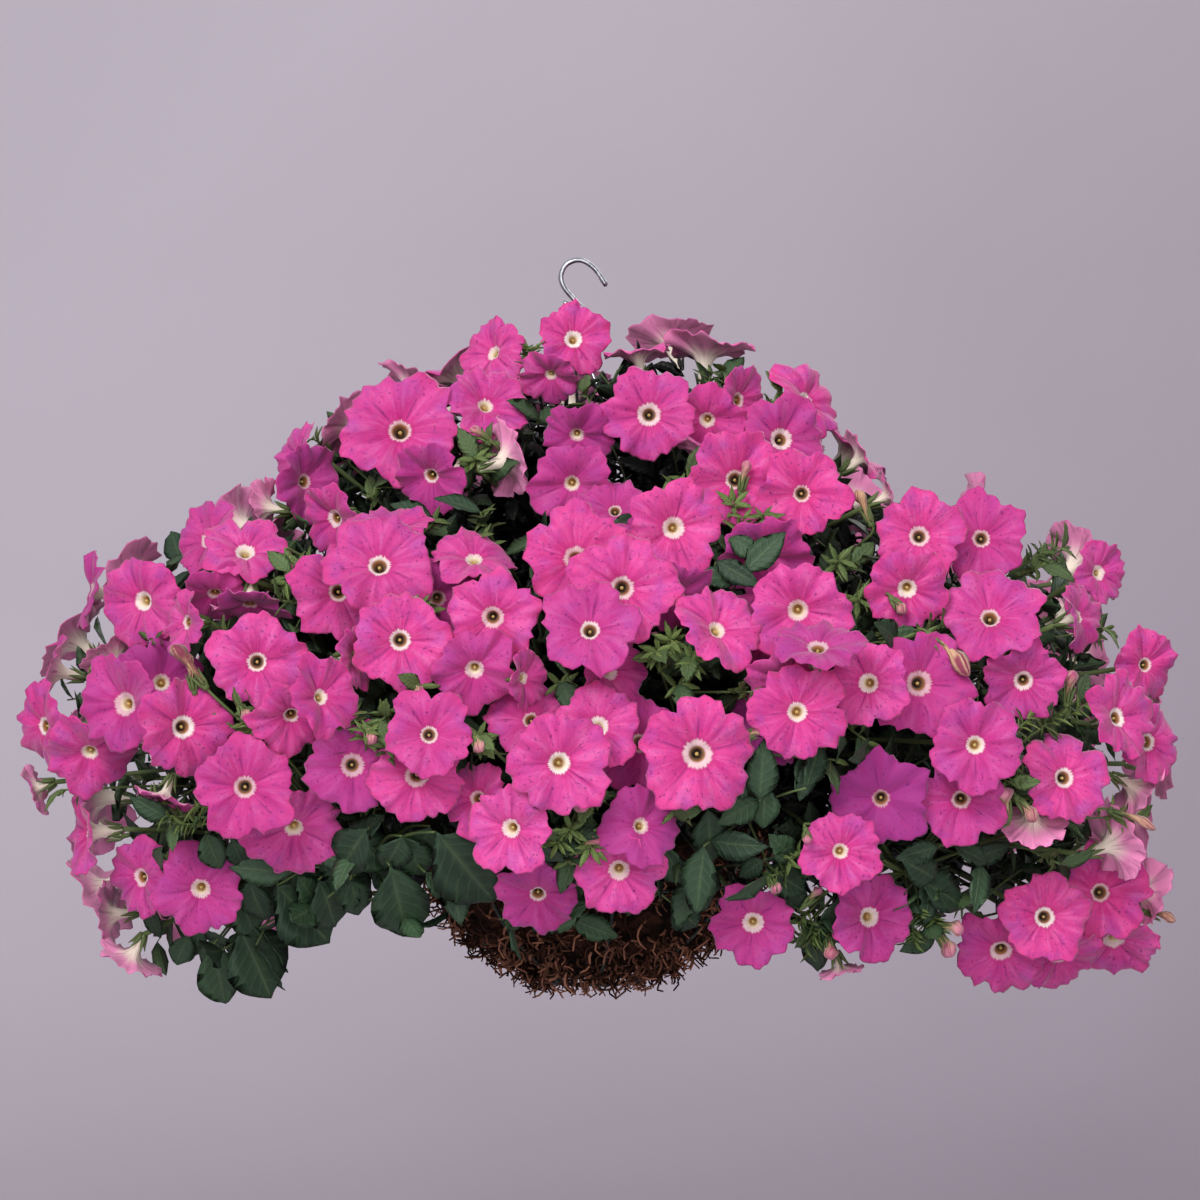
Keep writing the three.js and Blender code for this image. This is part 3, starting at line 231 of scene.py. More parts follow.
def colour(red, green, blue):
    """A screen colour from 0 to 255 as the linear light that a shader takes."""
    part = np.array([red, green, blue]) / 255
    return (*np.where(part > 0.04045, ((part + 0.055) / 1.055) ** 2.4, part / 12.92), 1.0)


def new_finish(name, **constants):
    """A material with its shader's fixed values set, its shader, and the place on the object."""
    finish = bpy.data.materials.new(name)
    finish.use_nodes = True
    shader = finish.node_tree.nodes["Principled BSDF"]
    for socket, value in constants.items():
        shader.inputs[socket.replace("_", " ")].default_value = value
    start = Flow(finish.node_tree)
    return finish, shader, start.node("TexCoord", output=3)


galvanised, shader, place = new_finish("galvanised_wire", Metallic=1.0)
spangle = place.noise(SPANGLES_A_METRE, 3)
spangle.between(0.3, 0.7).blend(colour(150, 154, 160), colour(214, 217, 221)).wear(shader, "Base Color")
(place.noise(SMEARS_A_METRE, 2) * 0.25 + 0.22).wear(shader, "Roughness")
spangle.bump(shader, 0.05)

hook_path = smooth_line([[x, 0, z] for x, z in HOOK_CENTRE_LINE], HOOK_STEPS)
hook_rod = round_rods(hook_path[None], HOOK_WIRE / 2, HOOK_SIDES)
add_piece("hook", [hook_rod], galvanised, ["s_hook"])

# Hanger wires: three lengths of 2.5 mm galvanised wire. Each is bent to an eye that is threaded on
# the hook's lower loop and wrapped on itself, runs straight down, and ends in a J under the rim.
GAP = 0.3
HANGER_WIRE = 2.5
HANGER_TURNS = [0.25, 7 / 12, 11 / 12]
HANGER_SIDES = 10
EYE_INNER_RADIUS = 5
EYE_PLACES = [0, -2.9, 2.9]
EYE_TURNS = np.linspace(0.96, 0.14, 28)
HOOK_LOWEST = (-3.8, -55.1)
LOOP_CURVE = 0.24
RIM_BEND_TURNS = np.linspace(0.07, -0.5, 14)
BASKET_X = 9
RIM_Z = -388
BASKET_RADIUS = 150
RIM_WIRE = 4
# the wire's end wound on itself under the eye: its reach is in wire widths
WRAP = {"turns": 2.6, "drop": 9, "steps": 40, "reach": 0.92}


def round_basket(turn, radius, z):
    """A point at a turn round the basket's upright axis."""
    turn, radius, z = np.broadcast_arrays(turn, radius, z)
    return np.stack([BASKET_X + radius * np.cos(TURN * turn), radius * np.sin(TURN * turn), z], axis=-1)


def hanger_lines(turn, aside):
    """The eye's arc, a straight run and the bend round the rim, then the wrap: a helix on the run."""
    eye_radius = EYE_INNER_RADIUS + HANGER_WIRE / 2
    eye_z = HOOK_LOWEST[1] + LOOP_CURVE * aside ** 2 + HOOK_WIRE / 2 + GAP - EYE_INNER_RADIUS
    towards = np.sign(np.sin(TURN * turn))
    angle = TURN * (EYE_TURNS - 0.25)
    eye = np.stack([
        np.full_like(angle, HOOK_LOWEST[0] + aside), -towards * eye_radius * np.cos(angle),
        eye_z + eye_radius * np.sin(angle),
    ], axis=-1)
    bend = (RIM_WIRE + HANGER_WIRE) / 2 + GAP
    angle = TURN * RIM_BEND_TURNS
    rim = round_basket(turn, BASKET_RADIUS + bend * np.cos(angle), RIM_Z + bend * np.sin(angle))
    down = unit(rim[0] - eye[-1])
    side, over = square_to(down)
    along = np.linspace(0, 1, WRAP["steps"])[:, None]
    turned = TURN * WRAP["turns"] * along
    wrap = (eye[-1] + down * (1 + WRAP["drop"] * along)
            + HANGER_WIRE * WRAP["reach"] * (side * np.cos(turned) + over * np.sin(turned)))
    return np.vstack([eye, rim]), wrap


for number, (turn, aside) in enumerate(zip(HANGER_TURNS, EYE_PLACES), 1):
    run, wrap = hanger_lines(turn, aside)
    skins = [round_rods(line[None], HANGER_WIRE / 2, HANGER_SIDES) for line in (run, wrap)]
    add_piece(f"hanger_{number}", skins, galvanised, [f"hanger_wire_{number}"])

# Wire basket: eight round ribs curve under from a thicker rim to a small bottom ring, with one ring
# half-way down, all steel wire welded where they cross and then coated dark green.
BASKET_DEPTH = 150
BOWL_TURN_IN = 0.998
BOWL_CURVE = 1.7
RIB_WIRE = 3
RIB_COUNT = 8
RIB_FIRST_TURN = 1 / 48
# points down a rib as parts of the basket's depth, and its two feet as parts of the bottom ring
RIB_DROPS = np.array([0, 0.24, 0.5, 0.73, 0.9])
RIB_FEET = np.array([1, 0.8])
RIB_STEPS = 6
WIRE_SIDES = 10
RING_DROP = 0.5
RING_STEPS = 96
BOTTOM_RING_RADIUS = 36
RUBS_A_METRE = 90
COAT_GRAINS_A_METRE = 500


def basket_radius(drop):
    """The bowl's half width: widest at the rim, and a root curve that turns in ever faster below."""
    return BASKET_RADIUS * np.sqrt(1 - BOWL_TURN_IN * drop ** BOWL_CURVE)


def wire_ring(radius, wire, z):
    """A circle of wire: a round section carried once round, its end joined to its start."""
    turn = np.arange(RING_STEPS)[:, None] / RING_STEPS
    around = TURN * np.arange(WIRE_SIDES) / WIRE_SIDES
    points = round_basket(turn, radius + wire / 2 * np.cos(around), z + wire / 2 * np.sin(around))
    here = np.arange(RING_STEPS * WIRE_SIDES).reshape(RING_STEPS, WIRE_SIDES)
    beside, ahead = np.roll(here, -1, axis=1), np.roll(here, -1, axis=0)
    across = np.roll(beside, -1, axis=0)
    quads = np.stack([here, ahead, across, beside], axis=-1).reshape(-1, 4)
    return points.reshape(-1, 3), quads, np.empty((0, 3), int)


coated, shader, place = new_finish("coated_wire", Metallic=0.2)
worn = place.noise(RUBS_A_METRE, 4).between(0.55, 0.72)
worn.blend(colour(38, 52, 44), colour(92, 84, 74)).wear(shader, "Base Color")
(worn * 0.3 + 0.42).wear(shader, "Roughness")
place.noise(COAT_GRAINS_A_METRE, 2).bump(shader, 0.1)

ribs = []
for turn in RIB_FIRST_TURN + np.arange(RIB_COUNT) / RIB_COUNT:
    side_points = round_basket(turn, basket_radius(RIB_DROPS), RIM_Z - RIB_DROPS * BASKET_DEPTH)
    under_points = round_basket(turn, BOTTOM_RING_RADIUS * RIB_FEET, RIM_Z - BASKET_DEPTH)
    ribs.append(smooth_line(np.vstack([side_points, under_points]), RIB_STEPS))
skins = [
    wire_ring(BASKET_RADIUS, RIM_WIRE, RIM_Z),
    wire_ring(basket_radius(RING_DROP), RIB_WIRE, RIM_Z - RING_DROP * BASKET_DEPTH),
    wire_ring(BOTTOM_RING_RADIUS, RIB_WIRE, RIM_Z - BASKET_DEPTH),
    round_rods(np.array(ribs), RIB_WIRE / 2, WIRE_SIDES),
]
add_piece("basket", skins, coated, ["wire_basket"])

# Moss liner: dried sphagnum packed by hand inside the wires, 12 mm thick. It bulges out between
# them, and strands of it hang loose and curl all over the outside.
LINER_THICKNESS = 12
LINER_BULGE = 5
LINER_GAP = 1.6
# rings of points down the outside and the inside, as parts of the basket's depth
LINER_DROPS = np.array([
    0.06, 0.1, 0.16, 0.22, 0.29, 0.36, 0.43, 0.5, 0.57, 0.64, 0.71, 0.78, 0.85, 0.92, 0.97,
])
LINER_INNER_DROPS = np.array([0.06, 0.2, 0.36, 0.54, 0.72])
LINER_COLUMNS = 144
LINER_LIFT = 3
# how far below the rim and either side of the half-way ring the wires hold the moss in
RIM_HOLD = 0.1
RING_HOLD = 0.3
MOSS_RELIEF = 3.2
MOSS_RELIEF_MIDDLE = 0.4
STRANDS = 1120
STRAND_POINTS = 7
STRAND_SIDES = 4
STRAND_RADIUS = 1.35
STRAND_TAPER = 0.55
STRAND_ROOT_DEPTH = 3
STRAND_SINK = 3.0
STRAND_STRAY = 1.9
# the least and the most of each strand's measures: place down the bowl, length, curl and twist
STRAND_DROPS = (0.1, 0.97)
STRAND_LENGTHS = (8, 18)
STRAND_CURLS = (4, 10)
STRAND_TWISTS = (0.5, 1.3)
FIBRES_A_METRE = 160
HOLLOW_SHADE_A_METRE = 45


def mixed(low, high, share):
    """The first value where the share is 0, and the second where it is 1."""
    return low + (high - low) * share


def chance(a, b):
    """A repeatable number from 0 to 1: the fraction left of a sine of both numbers made very large."""
    wave = np.sin(np.asarray(a) * 12.9898 + np.asarray(b) * 78.233) * 43758.5453
    return wave - np.floor(wave)


def liner_radius(turn, drop):
    """The bowl's radius less the wires' room, with a squared sine of bulge between two ribs."""
    from_rib = np.abs((turn - RIB_FIRST_TURN) * RIB_COUNT % 1 - 0.5) * 2
    between = np.sin(np.pi / 2 * (1 - from_rib)) ** 2
    from_ring = np.clip(np.abs(drop - RING_DROP) / RING_HOLD, 0, 0.5)
    from_rim = np.clip((drop - LINER_DROPS[0]) / RIM_HOLD, 0, 1)
    bulge = LINER_BULGE * between * (np.sin(np.pi * from_ring) * from_rim)
    return basket_radius(drop) - RIB_WIRE / 2 - LINER_GAP + bulge


def lumps(turn, z):
    """Tufts of moss: sines of the turn and the height, each warped by the next, from -1 to 1."""
    warp = np.sin(TURN * 7 * turn + z * 0.11)
    coarse = np.sin(TURN * 19 * turn + 1.7 * warp) * np.cos(z * 0.33 + 2 * warp)
    fine = np.sin(TURN * 47 * turn + z * 0.9 + 3 * coarse)
    return 0.6 * coarse + 0.4 * fine


def with_marks(rings, first, last, marks):
    """Rings and end points with each body's own extra numbers after the coordinates."""
    over_rings = np.broadcast_to(marks[:, None, None], (*rings.shape[:3], marks.shape[-1]))
    return np.concatenate([rings, over_rings], axis=-1), np.hstack([first, marks]), np.hstack([last, marks])


def marked(skin, *values):
    """The skin with the same extra numbers at each of its points."""
    points, quads, fans = skin
    return np.hstack([points, np.broadcast_to(values, (len(points), len(values)))]), quads, fans


moss, shader, place = new_finish("dried_moss", Roughness=1.0, Specular_IOR_Level=0.1)
fibres = place.noise(FIBRES_A_METRE, 6, 0.7)
# painted shade: cloudy near-black patches stand for the shade in the moss's hollows between its fibres
painted_hollow_shade = place.noise(HOLLOW_SHADE_A_METRE, 3)
browns = fibres.between(0.36, 0.68).blend(colour(22, 13, 10), colour(74, 46, 35))
deep = painted_hollow_shade.between(0.35, 0.6).blend(colour(14, 9, 7), browns)
place.mark("tint")[0].blend(deep, colour(206, 142, 112)).wear(shader, "Base Color")
fibres.bump(shader, 2.0)

turn = np.arange(LINER_COLUMNS) / LINER_COLUMNS
outer_z = (RIM_Z - LINER_DROPS * BASKET_DEPTH + LINER_LIFT * LINER_DROPS ** 4)[:, None]
outer_radius = liner_radius(turn, LINER_DROPS[:, None])
outer_radius = outer_radius + MOSS_RELIEF * (lumps(turn, outer_z) - MOSS_RELIEF_MIDDLE)
inner_z = (RIM_Z - LINER_INNER_DROPS * (BASKET_DEPTH - LINER_THICKNESS))[:, None]
inner_radius = (basket_radius(LINER_INNER_DROPS) - LINER_THICKNESS - RIB_WIRE)[:, None]
liner_rings = np.concatenate([
    round_basket(turn, outer_radius, outer_z)[::-1], round_basket(turn, inner_radius, inner_z),
])[None]
floor_z = RIM_Z - BASKET_DEPTH + RIB_WIRE / 2 + GAP + LINER_GAP
liner_first = np.array([[BASKET_X, 0, floor_z]])
liner_last = np.array([[BASKET_X, 0, floor_z + LINER_THICKNESS]])

seed = np.arange(STRANDS)
strand_drop = mixed(*STRAND_DROPS, np.sqrt(chance(seed, 21)))
strand_turn = chance(seed, 22)
strand_z = RIM_Z - strand_drop * BASKET_DEPTH
strand_root = round_basket(
    strand_turn, liner_radius(strand_turn, strand_drop) - STRAND_ROOT_DEPTH, strand_z)
outward = np.stack([
    np.cos(TURN * strand_turn) * (1.1 - strand_drop), np.sin(TURN * strand_turn) * (1.1 - strand_drop),
    -0.9 * strand_drop,
], axis=-1)
stray = np.stack([chance(seed, k) - 0.5 for k in (23, 24, 25)], axis=-1)
heading = unit(unit(outward) + stray * STRAND_STRAY)
curl_side, curl_over = (way[:, None] for way in square_to(heading, chance(seed, 26)))
along = np.linspace(0, 1, STRAND_POINTS)[None, :, None]
length, curl, twist = (
    mixed(*limits, chance(seed, salt))[:, None, None]
    for limits, salt in ((STRAND_LENGTHS, 27), (STRAND_CURLS, 28), (STRAND_TWISTS, 29)))
twisted = TURN * twist * along
strand_paths = (
    strand_root[:, None] + heading[:, None] * length * along ** 0.8
    + curl * along * (curl_side * np.cos(twisted) + curl_over * np.sin(twisted))
    - np.array([0, 0, STRAND_SINK]) * along ** 2
)
strand_girth = STRAND_RADIUS * (1 - STRAND_TAPER * along[..., 0]) * np.ones((STRANDS, 1))
# how pale each strand is: most are as dark as the moss behind them
strand_marks = np.stack([0.02 + chance(seed, 30) ** 2.4 * 0.85, 0 * seed, 0 * seed], axis=-1)
skins = [
    marked(closed_skins(liner_rings, liner_first, liner_last), 0.0, 0.0, 0.0),
    closed_skins(*with_marks(*rod_rings(strand_paths, strand_girth, STRAND_SIDES), strand_marks)),
]
add_piece("moss", skins, moss, ["moss_liner"], ["tint"])

# Soil: dark potting mix that fills the liner and crowns slightly, with a hole for each stem. The
# CAD solid stays and gets crumbs, bark and grit.
CRUMBS_A_METRE = 220
BARK_A_METRE = 60
GRIT_A_METRE = 900
potting_mix, shader, place = new_finish("potting_mix", Roughness=0.95)
bark = place.noise(BARK_A_METRE, 2).between(0.5, 0.65)
earth = bark.blend(colour(38, 27, 20), colour(74, 52, 38))
grit = place.noise(GRIT_A_METRE, 1).between(0.74, 0.8)
grit.blend(earth, colour(178, 170, 158)).wear(shader, "Base Color")
place.noise(CRUMBS_A_METRE, 5, 0.7).bump(shader, 1.5)
soil_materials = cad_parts["soil"].data.materials
soil_materials.clear()
soil_materials.append(potting_mix)

# Petals: one thin sheet a bloom, grown together from five lobes, with a ruffled edge, a white eye
# and a long narrow tube behind. Each bloom's place is its throat's pixel, at the crown's outline.
PICTURE_CENTRE = 600
VIEW_CENTRE = (15, -253)
VIEW_DISTANCE = 3000
MM_A_PIXEL = 0.75
GOLDEN_TURN = 0.381966
# the crown of blooms and leaves at each height: z, its left and right ends, and its depth
CROWN_ROWS = np.array([
    [-30, -34, 26, 24], [-66, -83, 124, 92], [-103, -176, 191, 170], [-141, -225, 214, 216],
    [-178, -252, 290, 252], [-216, -341, 400, 286], [-253, -379, 416, 312], [-291, -392, 427, 332],
    [-328, -424, 442, 346], [-366, -424, 442, 350], [-403, -405, 441, 338], [-441, -380, 436, 300],
    [-478, -366, 442, 256], [-516, -362, 439, 226], [-550, -330, 400, 200],
], float)
CROWN_ROUNDNESS = 2.3
CROWN_EDGE = 0.985
CROWN_TRIES = 6
DEEPEST_Y = 120
CROWN_HEART = np.array([BASKET_X, 0.0, -350.0])
# each bloom's throat x and y and its width in pixels, which way it leans and by how much, in
# degrees, and how many millimetres it is behind the crown's outline
FRONT_BLOOMS = {
    "hook": [
        [573, 340, 72, 60, 15, 0], [551, 374, 62, 250, 40, 14], [495, 354, 72, 150, 50, 0],
        [485, 407, 84, 60, 35, 8], [512, 458, 80, 20, 112, 25], [577, 434, 68, 270, 25, 22],
        [572, 483, 84, 270, 10, 12],
    ],
    "upper_left": [
        [400, 432, 118, 90, 18, 0], [432, 475, 76, 225, 30, 16], [302, 458, 74, 180, 58, 6],
        [304, 482, 78, 0, 45, 10], [337, 518, 74, 200, 45, 18], [388, 534, 84, 90, 58, 6],
        [262, 507, 60, 170, 100, 10], [344, 421, 80, 145, 106, 20], [414, 380, 70, 60, 108, 20],
    ],
    "left_shoulder": [
        [210, 540, 80, 150, 50, 0], [245, 554, 86, 80, 42, 4], [380, 567, 108, 90, 28, 0],
        [337, 592, 96, 0, 8, 10], [437, 598, 80, 300, 20, 30], [215, 592, 70, 270, 55, 12],
        [250, 603, 76, 270, 62, 20],
    ],
    "left": [
        [145, 601, 92, 190, 28, 0], [95, 592, 80, 170, 68, 10], [60, 672, 72, 165, 80, 10],
        [190, 622, 66, 180, 55, 8], [257, 662, 96, 0, 4, 0], [127, 704, 98, 180, 25, 0],
        [160, 683, 90, 45, 12, 34], [46, 726, 84, 180, 52, 4], [90, 751, 92, 260, 35, 10],
        [112, 652, 70, 120, 115, 22],
    ],
    "lower_left": [
        [182, 727, 98, 0, 25, 8], [33, 790, 52, 200, 105, 5], [245, 787, 100, 0, 4, 0],
        [292, 828, 102, 290, 30, 12], [352, 765, 94, 0, 10, 22], [291, 714, 82, 290, 35, 10],
        [321, 697, 82, 20, 42, 0], [354, 657, 68, 0, 55, 12], [165, 795, 60, 250, 75, 14],
    ],
    "left_skirt": [
        [201, 888, 90, 270, 12, 0], [143, 877, 80, 190, 40, 4], [92, 832, 88, 185, 70, 0],
        [105, 915, 72, 185, 98, 0], [130, 960, 66, 240, 100, 0],
    ],
    "middle_left": [
        [474, 561, 86, 90, 52, 6], [493, 617, 92, 270, 8, 4], [400, 640, 98, 0, 8, 0],
        [475, 668, 84, 270, 25, 22], [429, 735, 88, 60, 10, 4], [415, 777, 96, 270, 10, 0],
        [522, 678, 62, 0, 52, 14],
    ],
    "middle": [
        [576, 559, 104, 90, 12, 4], [622, 588, 106, 0, 5, 0], [590, 631, 96, 90, 22, 2],
        [607, 671, 86, 20, 38, 6], [673, 528, 94, 0, 8, 0], [615, 512, 70, 90, 30, 24],
        [674, 592, 80, 270, 35, 18],
    ],
    "middle_low": [
        [559, 763, 106, 0, 8, 0], [598, 728, 86, 90, 18, 6], [512, 828, 88, 200, 20, 2],
        [478, 800, 76, 180, 25, 16], [538, 893, 84, 270, 30, 10], [530, 722, 84, 120, 25, 12],
    ],
    "right_of_middle_low": [
        [697, 754, 116, 0, 3, 0], [640, 745, 96, 180, 10, 14], [619, 869, 90, 270, 15, 0],
        [640, 826, 82, 20, 25, 14], [753, 922, 84, 270, 8, 0],
    ],
    "upper_right": [
        [649, 415, 94, 90, 5, 0], [637, 350, 68, 100, 92, 0], [706, 346, 92, 85, 95, 0],
        [737, 400, 72, 0, 50, 4], [707, 420, 74, 250, 20, 20], [712, 450, 66, 70, 112, 12],
        [780, 440, 88, 30, 20, 4], [804, 402, 84, 20, 58, 0],
    ],
    "right_shoulder": [
        [735, 480, 98, 60, 5, 2], [801, 494, 88, 0, 3, 0], [866, 454, 64, 38, 92, 0],
        [892, 494, 56, 25, 92, 4], [765, 555, 96, 270, 25, 28],
    ],
    "middle_right": [
        [716, 631, 92, 45, 40, 2], [798, 610, 102, 270, 6, 6], [826, 620, 66, 20, 50, 12],
        [788, 680, 86, 270, 30, 14], [815, 649, 92, 90, 55, 4], [797, 712, 98, 0, 4, 0],
        [770, 726, 80, 200, 38, 30], [765, 628, 80, 200, 30, 24],
    ],
    "right": [
        [919, 537, 90, 90, 12, 4], [981, 539, 86, 90, 8, 0], [907, 588, 86, 270, 15, 6],
        [990, 619, 102, 90, 28, 0], [1023, 680, 82, 270, 12, 10],
    ],
    "far_right": [
        [1097, 573, 64, 10, 35, 0], [1077, 617, 70, 20, 62, 4], [1144, 665, 72, 10, 25, 0],
        [1115, 718, 86, 20, 42, 6], [1146, 742, 84, 0, 35, 0], [1142, 792, 72, 330, 108, 6],
    ],
    "right_of_middle": [
        [869, 683, 88, 180, 15, 2], [920, 684, 106, 0, 10, 0], [975, 745, 96, 0, 4, 0],
        [963, 800, 90, 270, 10, 4], [881, 798, 94, 270, 8, 30],
    ],
    "right_skirt": [
        [1063, 778, 92, 20, 18, 0], [1030, 828, 78, 255, 115, 8], [1116, 842, 80, 20, 118, 6],
        [1150, 892, 68, 355, 112, 8], [1104, 895, 96, 0, 8, 0], [1116, 940, 90, 270, 45, 8],
        [1044, 917, 90, 0, 6, 0], [1002, 950, 92, 270, 28, 14], [1060, 955, 84, 290, 45, 12],
    ],
    "lower_right": [
        [840, 851, 82, 0, 5, 4], [868, 917, 88, 0, 20, 4], [841, 972, 44, 285, 100, 0],
    ],
}
# how dull and purple some blooms are, by their throats' pixels: partly their age, and partly painted shade
# where they sit in shadow
PURPLE_BLOOMS = {
    (201, 888): 0.9, (881, 798): 2.0, (572, 483): 1.0, (577, 434): 1.2, (753, 922): 1.1,
    (868, 917): 1.0, (538, 893): 0.7, (1002, 950): 0.5, (841, 972): 0.2, (840, 851): 0.1,
}
# blooms whose throat shows pale down to its bottom
PALE_THROATS = {
    (673, 528), (716, 631), (607, 671), (869, 683), (512, 828), (551, 374), (495, 354), (573, 340),
    (485, 407), (577, 434), (302, 458), (210, 540), (245, 554), (321, 697), (354, 657), (907, 588),
    (1097, 573), (640, 826), (797, 712), (798, 610), (712, 450), (201, 888), (753, 922), (840, 851),
    (1116, 940), (60, 672), (95, 592),
}
# turn round the crown and height that each back spray aims at
BACK_SPRAYS = {
    "back_top": [0.25, -150], "back_upper_left": [0.37, -250], "back_upper_right": [0.13, -250],
    "back_middle": [0.25, -320], "back_left": [0.41, -420], "back_right": [0.09, -420],
    "back_low": [0.25, -430],
}
BACK_BLOOMS = 76
BACK_BLOOM_RADIUS = 34
BACK_BLOOM_SIZES = (0.88, 1.08)
BACK_LEANS = {"x": (-0.5, 0.5), "y": 0.25, "z": (-0.4, 0.5)}
BACK_TURNS = (-0.045, 0.545)
BACK_ROWS = 14
BACK_SUNK = (0.02, 0.1)
THROAT_HEIGHT = -0.26
LOBES = 5
# how far a solid bloom may be shifted along the line of sight, and how much smaller it may be, so
# that it stands clear of its neighbours
DEPTH_SHIFTS = np.array([0, 8, -8, 16, -14, 24, -24, 32, -34, 42, 54])
SHRINKS = np.array([1, 0.92, 0.84, 0.74])
# reach and height of a solid bloom's rim corners, and how near to a point such a corner has to be
RIM_SHAPE = np.array([[1, -0.05], [0.85, 0.04]] * LOBES)
CORNER_NEAR = 0.4
# the draws of a spray's blooms start at its number times this, and those of the back at the other
SEEDS_A_SPRAY = 20
BACK_SEED = 1000


def in_picture(px, py, y):
    """A pixel's place on the upright plane at a depth, seen in perspective."""
    spread = MM_A_PIXEL * (VIEW_DISTANCE + y) / VIEW_DISTANCE
    x = VIEW_CENTRE[0] + (px - PICTURE_CENTRE) * spread
    return np.stack([x, y + 0 * x, VIEW_CENTRE[1] - (py - PICTURE_CENTRE) * spread], axis=-1)


def crown_at(z):
    """The crown's middle, half width and depth at a height, straight between its rows."""
    left, right, depth = (np.interp(-z, -CROWN_ROWS[:, 0], CROWN_ROWS[:, k]) for k in (1, 2, 3))
    return (left + right) / 2, (right - left) / 2, depth


def crown_front(px, py, behind):
    """A pixel's place on the crown's front, a superellipse round at each height, or behind it."""
    px, py, behind = (np.asarray(value, float) for value in (px, py, behind))
    place = in_picture(px, py, 0 * px)
    for _ in range(CROWN_TRIES):
        middle, half, depth = crown_at(place[..., 2])
        outward = np.minimum(CROWN_EDGE, np.abs(place[..., 0] - middle) / half)
        front = -depth * (1 - outward ** CROWN_ROUNDNESS) ** (1 / CROWN_ROUNDNESS)
        place = in_picture(px, py, front)
    return in_picture(px, py, np.minimum(front + behind, DEEPEST_Y))


def crown_back(turn, z):
    """A place on the crown at a turn and a height."""
    middle, half, depth = crown_at(z)
    c, s = np.cos(TURN * turn), np.sin(TURN * turn)
    power = 2 / CROWN_ROUNDNESS
    return np.stack([
        middle + half * np.sign(c) * np.abs(c) ** power, depth * np.sign(s) * np.abs(s) ** power, z + 0 * c,
    ], axis=-1)


def crown_height(share):
    """The height above which a share of the crown's surface lies."""
    rows = CROWN_ROWS[:BACK_ROWS]
    girth = (rows[:, 2] - rows[:, 1]) / 2 + rows[:, 3]
    slope = np.hypot(np.diff(rows[:, 0]), np.diff(girth) / 2)
    area = np.concatenate([[0], np.cumsum(slope * (girth[1:] + girth[:-1]))])
    return np.interp(np.asarray(share) * area[-1], area, rows[:, 0])


def cad_corners(name):
    """The corners of a CAD node, in millimetres."""
    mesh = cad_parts[name].data
    place = np.empty(3 * len(mesh.vertices), np.float32)
    mesh.vertices.foreach_get("co", place)
    return np.unique(np.round(place.reshape(-1, 3) / MM, 3), axis=0)


def far_from(wanted, corners):
    """How far each wanted point is from the nearest of the corners."""
    return np.linalg.norm(wanted[..., None, :] - corners, axis=-1).min(axis=-1)


def settled(blooms, corners):
    """Each bloom with the shift along the line of sight and the shrink that its CAD solid has: of
    all of them, the one whose rim corners are most often corners of the node."""
    shrink, shift = (grid.ravel() for grid in np.meshgrid(SHRINKS, DEPTH_SHIFTS, indexing="ij"))
    angle = TURN * np.arange(len(RIM_SHAPE)) / len(RIM_SHAPE)
    for bloom in blooms:
        inward = 1 if bloom["centre"][1] < 0 else -1
        centres = bloom["centre"] + np.outer(shift * inward, [0, 1, 0])
        side, over = square_to(bloom["normal"], bloom["turn"])
        rim = (RIM_SHAPE[:, :1] * (np.cos(angle)[:, None] * side + np.sin(angle)[:, None] * over)
               + RIM_SHAPE[:, 1:] * bloom["normal"])
        rims = centres[:, None] + (bloom["radius"] * shrink)[:, None, None] * rim
        best = int((far_from(rims, corners) < CORNER_NEAR).sum(axis=1).argmax())
        bloom.update(centre=centres[best], radius=bloom["radius"] * shrink[best], side=side, over=over)


def nearest_back(place):
    """The back spray whose aim is nearest to a place."""
    return min(back_sprays, key=lambda spray: np.linalg.norm(spray["aim"] - place))


sprays = []
for number, (name, rows) in enumerate(FRONT_BLOOMS.items()):
    blooms = []
    for seed, (px, py, width, direction, lean, behind) in enumerate(rows, number * SEEDS_A_SPRAY):
        d, a = np.radians([direction, lean])
        normal = np.array([np.sin(a) * np.cos(d), -np.cos(a), np.sin(a) * np.sin(d)])
        centre = crown_front(px, py, behind)
        radius = width / 2 * MM_A_PIXEL * (VIEW_DISTANCE + centre[1]) / VIEW_DISTANCE
        if lean < 90:
            centre = centre - normal * THROAT_HEIGHT * radius
        # a bloom deeper behind the crown's outline gets more painted shade: duller and more purple
        blooms.append({
            "centre": centre, "normal": normal, "radius": radius, "turn": chance(seed, 1) / LOBES,
            "seed": seed, "shade": min(1, behind / 30), "pixel": (px, py),
        })
    sprays.append({"name": name, "blooms": blooms, "front": True})
back_sprays = [
    {"name": name, "blooms": [], "front": False, "aim": crown_back(turn, z)}
    for name, (turn, z) in BACK_SPRAYS.items()]
sprays += back_sprays
for k in range(BACK_BLOOMS):
    turn = mixed(*BACK_TURNS, (k * GOLDEN_TURN + 0.2) % 1)
    centre = crown_back(turn, crown_height((k + 1) / (BACK_BLOOMS + 1)))
    out = unit((centre - CROWN_HEART) * [1, 1, 0.9])
    lean = [mixed(*BACK_LEANS["x"], chance(k, 2)), BACK_LEANS["y"], mixed(*BACK_LEANS["z"], chance(k, 3))]
    centre = mixed(centre, CROWN_HEART, BACK_SUNK[k % 2])
    radius = BACK_BLOOM_RADIUS * mixed(*BACK_BLOOM_SIZES, chance(k, 4))
    nearest_back(centre)["blooms"].append({
        "centre": centre, "normal": unit(out + lean), "radius": radius, "turn": chance(k, 5) / LOBES,
        "seed": BACK_SEED + k, "shade": 0.3 * chance(k, 40), "pixel": None,
    })
for spray in sprays:
    spray["corners"] = cad_corners("blooms_" + spray["name"])
    settled(spray["blooms"], spray["corners"])

